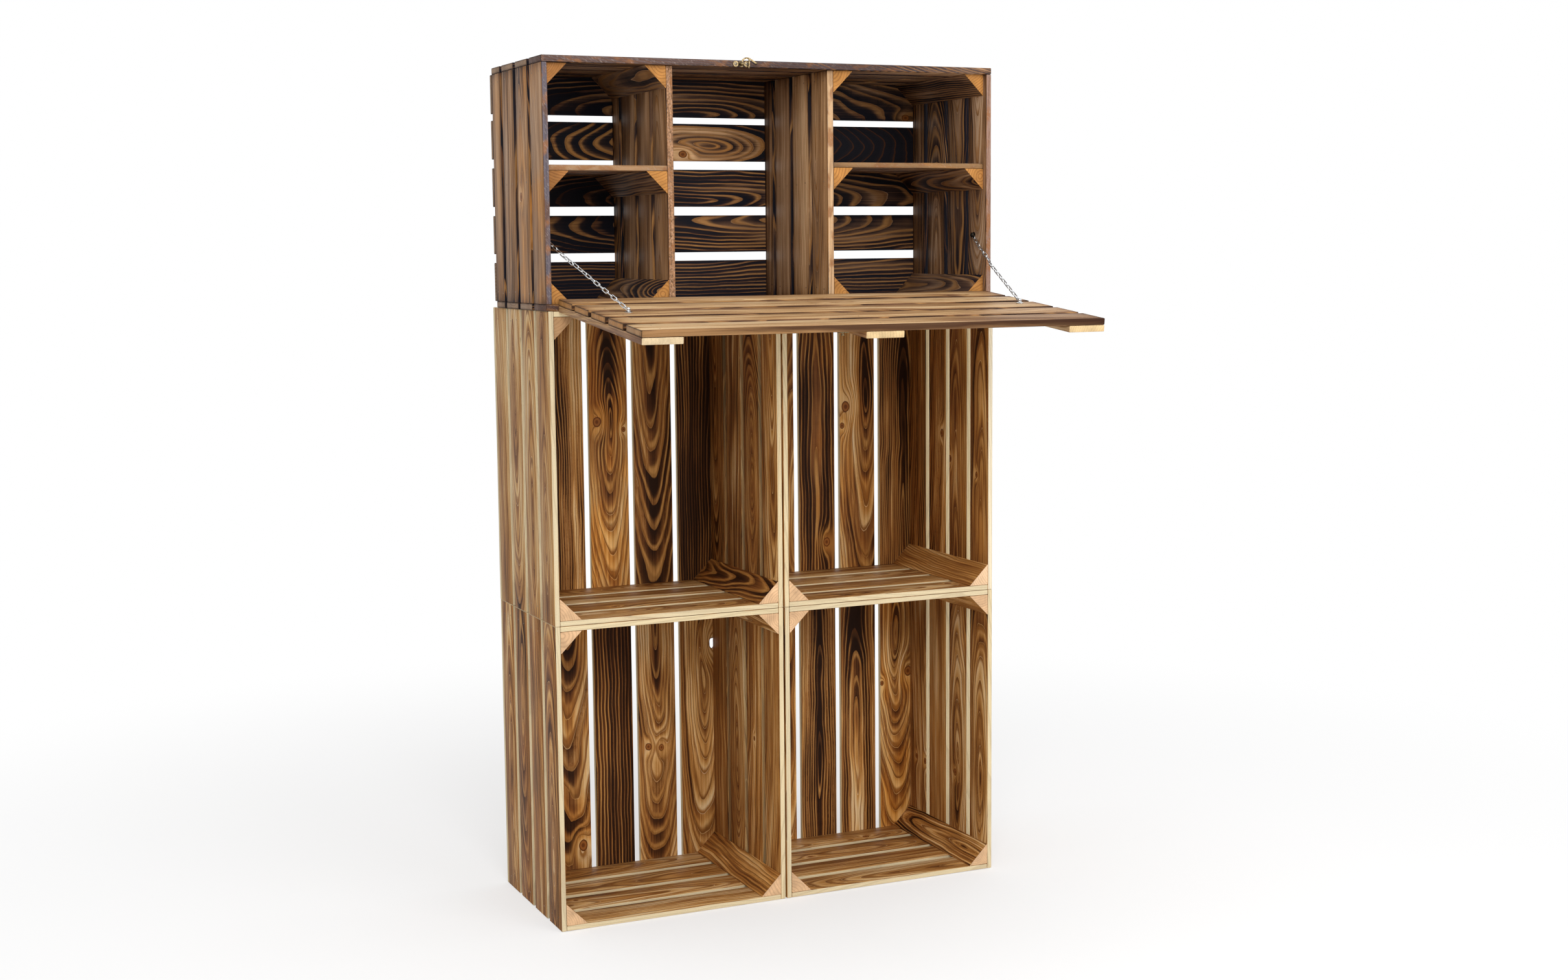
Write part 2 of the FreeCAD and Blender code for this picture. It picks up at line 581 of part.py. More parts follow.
def chain_geometry(side):
    """Rest points and fold angles of the three parts of one chain."""
    sizes = CHAINS[side]
    shelf_x, rises = sizes["shelf_x"], sizes["rises"]
    flap_links, middle_links, wall_links = sizes["links"]
    edge, slope, normal = shelf_frame()
    wall_x = INNER_RIGHT - WALL_STANDOFF if side == "right" else INNER_LEFT + WALL_STANDOFF
    wall_reach = FIRST_CROWN + wall_links * LINK_PITCH              # screw to the upper fold
    middle_reach = middle_links * LINK_PITCH + HALF_LINK_OVERLAP
    shelf_reach = FIRST_CROWN + LINK_INNER + 2 * WIRE               # screw to the lowest fold
    flap_reach = flap_links * LINK_PITCH - HALF_LINK_OVERLAP
    lengths = (shelf_reach + flap_reach, middle_reach, wall_reach)
    run = sum(length * math.cos(math.radians(rise)) for length, rise in zip(lengths, rises))
    sideways = V(math.copysign(MEETING_OFFSET, wall_x - shelf_x), 0, 0)
    heading = math.asin((wall_x - shelf_x - sideways.x) / run)

    def direction(rise):
        flat = math.cos(math.radians(rise))
        return V(flat * math.sin(heading), flat * math.cos(heading), math.sin(math.radians(rise)))

    shelf_screw = edge + V(shelf_x, 0, 0) + slope * sizes["from_edge"] + normal * SHELF_STANDOFF
    flap_way, middle_way, wall_way = (direction(rise) for rise in rises)
    flap_pivot = shelf_screw + flap_way * shelf_reach
    meeting = flap_pivot + flap_way * flap_reach
    middle_pivot = meeting + sideways + middle_way * middle_reach
    wall_screw = middle_pivot + wall_way * wall_reach

    # folded chain: the meeting point hangs low behind the closed flap
    closed_pivot = V(Part.Vertex(flap_pivot).rotate(HINGE_POINT, V(-1, 0, 0), OPEN_ANGLE).Point)
    closed_y = FRONT_Y + sizes["folded_y"]
    drop = flap_reach ** 2 - (meeting.x - closed_pivot.x) ** 2 - (closed_y - closed_pivot.y) ** 2
    closed_meeting = V(meeting.x, closed_y, closed_pivot.z - math.sqrt(drop))
    closed_way = unit(closed_meeting - closed_pivot)
    closed_way_open_frame = V(Part.Vertex(closed_way).rotate(V(0, 0, 0), V(1, 0, 0),
                                                             OPEN_ANGLE).Point)
    flap_axis = unit(flap_way.cross(closed_way_open_frame))
    flap_angle = math.degrees(flap_way.getAngle(closed_way_open_frame))

    # two-bar chain in the y-z plane from the wall screw to the meeting point
    bar_one = math.hypot(wall_way.y, wall_way.z) * wall_reach
    bar_two = math.hypot(middle_way.y, middle_way.z) * middle_reach
    dy, dz = closed_meeting.y - wall_screw.y, closed_meeting.z - wall_screw.z
    span = math.hypot(dy, dz)
    bend = math.acos((bar_one ** 2 + span ** 2 - bar_two ** 2) / (2 * bar_one * span))
    closed_one = math.atan2(dz, dy) + bend
    elbow_y = wall_screw.y + bar_one * math.cos(closed_one)
    elbow_z = wall_screw.z + bar_one * math.sin(closed_one)
    closed_two = math.atan2(closed_meeting.z - elbow_z, closed_meeting.y - elbow_y)
    open_one = math.atan2(-wall_way.z, -wall_way.y)
    open_two = math.atan2(-middle_way.z, -middle_way.y)
    wall_angle = math.degrees(closed_one - open_one) % 360
    middle_turn = math.degrees(closed_two - open_two)
    middle_turn = (middle_turn + 180) % 360 - 180
    return {
        "wall_screw": wall_screw, "middle_pivot": middle_pivot, "meeting": meeting,
        "flap_pivot": flap_pivot, "shelf_screw": shelf_screw,
        "wall_way": wall_way, "middle_way": middle_way, "flap_way": flap_way,
        "wall_angle": wall_angle, "middle_angle": wall_angle - middle_turn,
        "flap_axis": flap_axis, "flap_angle": flap_angle,
        "closed_meeting": closed_meeting,
    }


def chain(side):
    data = chain_geometry(side)
    flap_links, middle_links, wall_links = CHAINS[side]["links"]
    into_wall = V(1, 0, 0) if side == "right" else V(-1, 0, 0)
    wall_way = data["wall_way"] * -1
    flat_on_wall = unit(wall_way.cross(into_wall))
    add("%s_chain_wall_part" % side,
        link_row(data["wall_screw"], wall_way, flat_on_wall, 0, wall_links))
    middle_way = data["middle_way"] * -1
    flat_in_middle = unit(middle_way.cross(into_wall))
    start = data["middle_pivot"] - middle_way * (wall_links * LINK_PITCH + FIRST_CROWN)
    # both end links stand upright where they meet, so a row may need a quarter twist
    middle_twist = 0.0 if (wall_links + middle_links) % 2 else 90.0 / (middle_links - 1)
    add("%s_chain_middle_part" % side,
        link_row(start, middle_way, flat_in_middle, wall_links, middle_links, middle_twist))
    flap_way = data["flap_way"]
    normal = shelf_frame()[2]
    flat_on_shelf = unit(normal.cross(flap_way))
    flap_twist = 0.0 if flap_links % 2 else 90.0 / flap_links
    row = link_row(data["shelf_screw"], flap_way, flat_on_shelf, 0, flap_links + 1, flap_twist)
    add("%s_chain_flap_part" % side, row[1:])
    return row[0]


def anchor(foot, out, sizes):
    """A washer and a domed screw that stand on foot."""
    washer = Part.makeCylinder(sizes["washer"], ANCHOR_WASHER_HEIGHT, foot, out)
    body = Part.makeCylinder(ANCHOR_SHANK, sizes["body"], foot, out)
    under_head = foot + out * (sizes["body"] - 0.2)
    head = dome_screw(under_head, out, sizes["head"], sizes["head_height"], sizes["slot"])
    return washer.fuse([body, head])


def chain_anchors(anchor_links):
    """Screws and washers at both ends of the chains."""
    wall_pieces, shelf_pieces = [], list(anchor_links)
    normal = shelf_frame()[2]
    for side in ("left", "right"):
        data = chain_geometry(side)
        out = V(-1 if side == "right" else 1, 0, 0)
        wall_foot = data["wall_screw"] - out * WALL_STANDOFF
        shelf_foot = data["shelf_screw"] - normal * SHELF_STANDOFF
        wall_pieces.append(anchor(wall_foot, out, WALL_ANCHOR))
        shelf_pieces.append(anchor(shelf_foot, normal, SHELF_ANCHOR))
    add("chain_wall_screws", wall_pieces)
    add("chain_shelf_screws", shelf_pieces)


# ----------------------------------------------------------------- all
def build():
    all_crates()
    upper_box()
    flap()
    hinges()
    latch()
    small_screws()
    joining_screws()
    chain_anchors([chain("left"), chain("right")])
    os.makedirs("parts", exist_ok=True)
    for name, solids in NODES.items():
        shape = solids[0] if len(solids) == 1 else Part.makeCompound(solids)
        shape.exportStep("parts/%s.step" % name)
    print("nodes", len(NODES), "solids", sum(len(s) for s in NODES.values()))


build()
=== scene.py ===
import json
import math
import random
from types import SimpleNamespace

import bpy
import numpy as np
from mathutils import Matrix, Vector, geometry


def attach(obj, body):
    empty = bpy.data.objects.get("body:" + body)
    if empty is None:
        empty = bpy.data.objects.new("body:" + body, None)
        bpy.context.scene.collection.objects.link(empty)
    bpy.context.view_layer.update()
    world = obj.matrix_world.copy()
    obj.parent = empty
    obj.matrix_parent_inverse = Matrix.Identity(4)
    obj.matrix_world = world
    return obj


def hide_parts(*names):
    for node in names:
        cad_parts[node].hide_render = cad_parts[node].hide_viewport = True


# Looks of the bar cabinet. Every wooden node is rebuilt board by board with eased edges and a
# flamed softwood material that follows the growth rings of each board. Metal parts keep their
# solids and get worn metals, and the nail heads exist only here. Lengths are metres, except
# where a table or a comment says millimetres.

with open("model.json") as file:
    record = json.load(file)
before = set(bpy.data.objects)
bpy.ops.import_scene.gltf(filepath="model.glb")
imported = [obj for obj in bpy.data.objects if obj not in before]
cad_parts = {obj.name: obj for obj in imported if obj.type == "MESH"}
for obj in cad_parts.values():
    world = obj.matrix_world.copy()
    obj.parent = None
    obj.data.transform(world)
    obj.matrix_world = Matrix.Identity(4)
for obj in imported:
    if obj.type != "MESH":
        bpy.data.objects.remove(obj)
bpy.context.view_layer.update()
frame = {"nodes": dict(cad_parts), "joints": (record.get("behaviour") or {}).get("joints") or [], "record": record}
NODES = frame["nodes"]
FLAP_JOINT = next(joint for joint in frame["joints"] if joint["name"] == "flap_hinge")
MM = 0.001
TURN = 6.2832               # a full turn, in radians

# The flap's boards are drawn in the shut pose, where they are upright, and then laid open.
HINGE_POINT = Vector(FLAP_JOINT["pos_m"])
SHUT_ANGLE = math.radians(FLAP_JOINT["range_deg"][1])
TO_CLOSED = (Matrix.Translation(HINGE_POINT) @ Matrix.Rotation(-SHUT_ANGLE, 4, "X")
             @ Matrix.Translation(-HINGE_POINT))
TO_OPEN = TO_CLOSED.inverted()

ARRIS = 1.1 * MM            # how far a board's end and edges are eased
SKIN = 0.12 * MM            # faces lie this far inside the solid, so that nail heads stand proud
EDGE_WAVE = 0.45 * MM       # how uneven a board's edges are
FACE_WAVE = 0.10 * MM       # and its faces
EASED_END = ((0.0, 1.0), (0.3, 0.3), (1.0, 0.0))    # (way in, inset) of an end, in ARRIS
ARC_MIDDLE = 0.29           # inset of the middle point of a rounded edge, in its radius
STATION_STEP = 0.05         # distance between the cross-sections of a board
CORNERS = ((1, 1), (1, -1), (-1, -1), (-1, 1))      # signs of width and thickness, in order
SHARP = math.cos(math.radians(32))                  # faces that meet at more are hard-edged

# What the wood material knows of each board, as vector attributes of its mesh.
LAYERS = {
    "look_a": ("burn", "contrast", "tilt"), "look_b": ("pith", "depth", "slope"),
    "look_c": ("seed", "ring", "tone"), "look_d": ("edge_burn", "end_raw", "lean"),
    "look_e": ("raw_low", "raw_high", "edge_grain"),
    "look_f": ("core_low", "core_high", "amber"), "look_g": ("bow", "cork", "spare"),
}
BOARD_DATA = (*LAYERS, "edge_paint", "knot_a", "knot_b")


def colour(code):
    """Linear colour from an sRGB hex code."""
    values = [int(code[i:i + 2], 16) / 255 for i in (0, 2, 4)]
    linear = [v / 12.92 if v <= 0.04045 else ((v + 0.055) / 1.055) ** 2.4 for v in values]
    return (*linear, 1.0)


# ------------------------------------------------------- solids and meshes
def islands(node, to_local=None):
    """Vertex coordinates of each closed solid in a node."""
    mesh = NODES[node].data
    points = np.empty(len(mesh.vertices) * 3)
    mesh.vertices.foreach_get("co", points)
    points = points.reshape(-1, 3)
    keys = {}
    merged = [keys.setdefault(tuple(np.round(p, 6)), len(keys)) for p in points]
    parent = list(range(len(keys)))

    def root(i):
        while parent[i] != i:
            parent[i] = parent[parent[i]]
            i = parent[i]
        return i

    for polygon in mesh.polygons:
        first = root(merged[polygon.vertices[0]])
        for other in polygon.vertices[1:]:
            parent[root(merged[other])] = first
    groups = {}
    for key, place in zip(merged, points):
        groups.setdefault(root(key), []).append(place)
    solids = [np.array(group) for group in groups.values()]
    if to_local is not None:
        turn = np.array(to_local)
        solids = [s @ turn[:3, :3].T + turn[:3, 3] for s in solids]
    return solids


def add_piece(name, mesh, material, to_world):
    """Puts a mesh into the scene, smooth except along the lines where its faces meet sharply."""
    if to_world is not None:
        mesh.transform(to_world)
    mesh.shade_smooth()
    mesh.update()
    mesh.materials.append(material)
    normals = np.empty(len(mesh.polygons) * 3)
    mesh.polygons.foreach_get("normal", normals)
    normals = normals.reshape(-1, 3)
    sides = {}
    for polygon in mesh.polygons:
        for loop in polygon.loop_indices:
            sides.setdefault(mesh.loops[loop].edge_index, []).append(polygon.index)
    sharp = np.zeros(len(mesh.edges), bool)
    for edge, pair in sides.items():
        sharp[edge] = len(pair) == 2 and normals[pair[0]] @ normals[pair[1]] < SHARP
    mesh.attributes.new("sharp_edge", "BOOLEAN", "EDGE").data.foreach_set("value", sharp)
    piece = bpy.data.objects.new(name, mesh)
    bpy.context.scene.collection.objects.link(piece)
    return piece


class Wood:
    """Collects the boards of one piece, with what the material needs to know at each point."""

    def __init__(self):
        self.points, self.faces = [], []
        self.data = {name: [] for name in ("place", "half", *BOARD_DATA)}

    def add(self, points, places, half, look, faces):
        start = len(self.points)
        self.points += points
        self.faces += [[start + i for i in face] for face in faces]
        self.data["place"] += places
        self.data["half"] += [half] * len(points)
        for name in BOARD_DATA:
            self.data[name] += [look[name]] * len(points)

    def piece(self, name, material, to_world):
        mesh = bpy.data.meshes.new(name)
        mesh.from_pydata(self.points, [], self.faces)
        for attribute, values in self.data.items():
            layer = mesh.attributes.new(attribute, "FLOAT_VECTOR", "POINT")
            layer.data.foreach_set("vector", np.array(values, float).ravel())
        return add_piece(name, mesh, material, to_world)


# ---------------------------------------------------------- looks of boards
# Each kind of board: ranges of burn, contrast and tone, and what all its boards share.
KINDS = {
    "crate": (((0.34, 0.56), (0.8, 1.2), (-0.08, 0.08)),
              dict(raw_low=1.0, raw_high=1.0, edge_burn=0.0, end_raw=0.9, edge_grain=0.25,
                   paint="D3C19C")),
    "post": (((0.36, 0.58), (0.8, 1.2), (-0.04, 0.08)),
             dict(edge_burn=0.0, end_raw=1.0, edge_grain=0.35, paint="CFA982")),
    "box": (((0.42, 0.60), (0.8, 1.2), (-0.08, 0.08)),
            dict(edge_burn=0.50, end_raw=0.85, paint="9A8068")),
    "block": (((0.50, 0.68), (0.9, 1.3), (-0.05, 0.05)),
              dict(edge_burn=0.0, end_raw=0.9, paint="BC8344")),
    "flap": (((0.20, 0.32), (0.6, 0.9), (-0.04, 0.06)),
             dict(edge_burn=0.58, end_raw=0.9, paint="AC7C48")),
}
PLAIN = dict(raw_low=0.0, raw_high=0.0, edge_grain=0.9, core_low=0.0, core_high=0.0, tilt=0.0,
             bow=0.0, cork=0.0, spare=0.0, knots=())
FLAT_SAWN_SHARE = 0.62
KNOT_CHANCE = 0.3           # for boards that have no entry in OWN
NO_KNOT = (0.0, 0.0, 0.0)


def make_look(rng, kind, own):
    """Ring geometry, burn and knots of one board; own holds what is set for this board."""
    ranges = {name: [rng.uniform(*span) for span in spans] for name, (spans, _) in KINDS.items()}
    flat = rng.random() < FLAT_SAWN_SHARE
    board_look = PLAIN | KINDS[kind][1] | dict(zip(("burn", "contrast", "tone"), ranges[kind]))
    board_look |= dict(
        pith=rng.uniform(-14, 14) if flat else rng.choice((-1, 1)) * rng.uniform(45, 90),
        depth=rng.uniform(16, 34) if flat else rng.uniform(15, 50),
        slope=rng.choice((-1, 1)) * rng.uniform(0.04, 0.13),
        ring=rng.uniform(3.6, 5.8), seed=rng.uniform(0, 60),
        lean=rng.uniform(-0.10, 0.10), amber=rng.uniform(0.0, 0.25))
    board_look |= own
    for key in ("pith", "depth", "ring"):
        board_look[key] *= MM
    look = {layer: tuple(board_look[key] for key in keys) for layer, keys in LAYERS.items()}
    look["edge_paint"] = colour(board_look["paint"])[:3]
    look["knots"] = board_look["knots"]
    return look


def set_knots(look, centre_u, centre_v, rng, chance, half_u, half_v):
    """Knots of a board from its own list (v, u, radius in mm), or one at random."""
    knots = list(look["knots"])
    if not knots and rng.random() < chance:
        radius = rng.uniform(2.5, 5.5)
        v = centre_v / MM + rng.uniform(-0.7, 0.7) * half_v / MM
        u = centre_u / MM + rng.uniform(-0.85, 0.85) * half_u / MM
        knots = [(v, u, radius)]
    local = [(u * MM - centre_u, v * MM - centre_v, r * MM) for v, u, r in knots]
    look["knot_a"], look["knot_b"] = (local + [NO_KNOT] * 2)[:2]


# ------------------------------------------------------------ board shapes
def wave(rng, length):
    """A slow random wave along a board, between 0 and 1."""
    parts = [(rng.uniform(0.6, 2.2), rng.uniform(0, TURN)) for _ in range(3)]

    def value(u):
        return 0.5 + sum(math.sin(TURN * rate * u / length + phase) for rate, phase in parts) / 6

    return value


def ring_faces(rings, size):
    """Faces of a tube of cross-sections, with both its ends closed."""
    faces = []
    for base in range(0, (rings - 1) * size, size):
        for i in range(size):
            j = (i + 1) % size
            faces.append([base + i, base + size + i, base + size + j, base + j])
    return faces + [list(range(size)), [(rings - 1) * size + i for i in reversed(range(size))]]


def add_board(wood, places, centre, axes, half, look, faces):
    """Adds a shape given in a board's own (length, width, thickness), facing outwards."""
    points = []
    for place in places:
        point = [0.0, 0.0, 0.0]
        for axis, value in zip(axes, place):
            point[axis] = centre[axis] + value
        points.append(point)
    if (axes[1] - axes[0]) % 3 != 1:
        faces = [face[::-1] for face in faces]
    wood.add(points, places, half, look, faces)


def long_edge(v, w, signs, reach, cut):
    """Three points round one long edge of a board, in the order of its cross-section."""
    side, face = signs
    points = [(v - side * reach, w), (v - side * cut, w - face * cut), (v, w - face * reach)]
    return points if side == face else points[::-1]


def board(wood, low, high, axes, look, rng, notches=(), square=()):
    """A board between two corners; axes are the world axes of its length, width, thickness.

    notches are (u0, u1, depth, height) cuts in the upper edge at the low side of the width.
    square names the CORNERS that stay square, because another board meets them along a line.
    """
    centre, half = (low + high) / 2, (high - low) / 2
    hu, hv, hw = (half[axis] for axis in axes)
    low_v, high_v, low_w, high_w = (wave(rng, 2 * hu) for _ in range(4))
    count = max(5, int(2 * hu / STATION_STEP))
    inner = [-hu + 2 * ARRIS + (2 * hu - 4 * ARRIS) * k / count for k in range(count + 1)]
    for u0, u1, _, _ in notches:
        inner += [u + way * 0.05 * MM for u in (u0, u1) for way in (-1, 1)]
    stations = ([(-hu + ARRIS * way, ARRIS * inset) for way, inset in EASED_END]
                + [(u, 0.0) for u in sorted(inner)]
                + [(hu - ARRIS * way, ARRIS * inset) for way, inset in reversed(EASED_END)])
    reach = ARRIS * 0.9
    places = []
    for u, inset in stations:
        v_ends = (hv - inset - EDGE_WAVE * high_v(u), -hv + inset + EDGE_WAVE * low_v(u))
        w_ends = (hw - inset - SKIN - FACE_WAVE * high_w(u),
                  -hw + inset + SKIN + FACE_WAVE * low_w(u))
        section = []
        for corner, (side, face) in enumerate(CORNERS):
            if corner in square:
                section += long_edge(side * (hv - inset), face * (hw - inset), (side, face),
                                     reach, 0.0)
            else:
                section += long_edge(v_ends[side < 0], w_ends[face < 0], (side, face),
                                     reach, ARC_MIDDLE * reach)
        for u0, u1, depth, height in notches:
            if u0 < u < u1:
                section[9:] = [(v_ends[1], hw - height), (-hv + depth, hw - height),
                               (-hv + depth, w_ends[0])]
        places += [(u, v, w) for v, w in section]
    add_board(wood, places, centre, axes, (hu, hv, hw), look, ring_faces(len(stations), 12))


def board_with_hole(wood, low, high, axes, look):
    """A back slat whose knot has fallen out."""
    centre, half = (low + high) / 2, (high - low) / 2
    hu, hv, hw = (half[axis] for axis in axes)
    hole_u, hole_v = HOLE["height"] - centre[axes[0]], HOLE["x"] - centre[axes[1]]
    steps = 48
    turns = [TURN * k / steps for k in range(steps)]
    along = [-hu + 2 * hu * k / 20 for k in range(21)]
    outline = ([(u, hv) for u in along] + [(hu, hv - 2 * hv * k / 6) for k in range(1, 6)]
               + [(u, -hv) for u in reversed(along)]
               + [(-hu, -hv + 2 * hv * k / 6) for k in range(1, 6)])
    widening = 0.35 * MM
    layers = ((-hw + SKIN, ARRIS, 0.0), (-hw + SKIN + ARRIS, 0.0, widening),
              (hw - SKIN - ARRIS, 0.0, widening), (hw - SKIN, ARRIS, 0.0))
    places, faces = [], []
    for w, inset, narrow in layers:
        for u, v in outline:
            places.append((math.copysign(max(abs(u) - inset, 0), u),
                           math.copysign(max(abs(v) - inset, 0), v), w))
        for t in turns:
            rough = 1 + 0.05 * math.sin(3 * t + 0.7) + 0.04 * math.sin(5 * t + 2.0)
            u = hole_u + (HOLE["half_height"] * rough - narrow) * math.sin(t)
            v = hole_v + (HOLE["half_width"] * rough - narrow) * math.cos(t)
            places.append((u, min(v, hv - ARRIS - 0.3 * MM), w))
    outer, layer = len(outline), len(outline) + steps
    for start in range(0, 3 * layer, layer):
        for i in range(outer):
            j = (i + 1) % outer
            faces.append([start + i, start + j, start + layer + j, start + layer + i])
        inner = start + outer
        for i in range(steps):
            j = (i + 1) % steps
            faces.append([inner + j, inner + i, inner + layer + i, inner + layer + j])
    for start, turned in ((0, True), (3 * layer, False)):
        flat = [Vector((*places[start + i][:2], 0)) for i in range(layer)]
        for triangle in geometry.tessellate_polygon([flat[:outer], flat[outer:]]):
            p, q, r = (flat[i].xy for i in triangle)
            corners = [start + i for i in triangle]
            if ((q - p).cross(r - p) > 0) == turned:
                corners.reverse()
            faces.append(corners)
    add_board(wood, places, centre, axes, (hu, hv, hw), look, faces)


def post(wood, solid, look, rng):
    """A three-cornered post: front to back, with its sloped face towards the inside."""
    y0, y1 = solid[:, 1].min(), solid[:, 1].max()
    corners = sorted({(round(x, 5), round(z, 5)) for x, _, z in solid})

    def in_line(p, q, axis):
        return abs(p[axis] - q[axis]) < 1e-4

    right = max(corners, key=lambda p: sum(in_line(p, q, 0) or in_line(p, q, 1)
                                           for q in corners))
    far_x, far_z = (Vector(next(p for p in corners if p != right and in_line(p, right, axis)))
                    for axis in (1, 0))
    right = Vector(right)
    triangle = [right, far_x, far_z]
    if (far_x - right).cross(far_z - right) < 0:
        triangle = [right, far_z, far_x]
    middle = (far_x + far_z) / 2
    along = (far_z - far_x).normalized()
    out = Vector((along.y, -along.x))
    if out.dot(middle - right) < 0:
        out = -out
    centre = sum(triangle, Vector((0, 0))) / 3
    hu = (y1 - y0) / 2
    bend = wave(rng, 2 * hu)
    eased, end_inset, uneven = 0.7 * MM, 0.5 * MM, 0.15 * MM
    stations = [(-hu, end_inset), (-hu + eased, 0.0)]
    stations += [(-hu + 2 * hu * k / 8, 0.0) for k in range(1, 8)]
    stations += [(hu - eased, 0.0), (hu, end_inset)]
    points, places = [], []
    for u, inset in stations:
        for i, here in enumerate(triangle):
            cut = 1.4 * MM if i == 0 else 0.9 * MM
            for other in (triangle[i - 1], triangle[(i + 1) % 3]):
                p = here + (other - here).normalized() * cut
                p += (centre - p).normalized() * (inset + uneven * bend(u))
                points.append([p.x, (y0 + y1) / 2 + u, p.y])
                places.append((u, (p - middle).dot(along), (p - middle).dot(out)))
    wood.add(points, places, (hu, 1.0, 1.0), look, ring_faces(len(stations), 6))


FLAP_CLEATS = ("left", "middle", "right")
KNUCKLE_REACH = 2.4 * MM    # notches for the hinge knuckles: round the pin, and past the leaves
KNUCKLE_GAP = 0.5 * MM
NAIL_RADIUS = 1.15 * MM
NAIL_STEPS = 10
NAIL_SUNK = 0.02 * MM
NAIL_RINGS = ((-0.5 * MM, 1.0), (0.06 * MM, 1.0), (0.10 * MM, 0.72))    # (height, radius share)
SHELF_NAILS = 1.203         # height of the nails that hold the box's half-height shelves
NAILED_FROM_LOW_SIDE = ("left_side", "bottom_end", "box_bottom_boards", "box_left_side",
                        "right_divider")
FRESH_EDGES = dict(raw_low=0.55, raw_high=0.55, paint="B39A70")

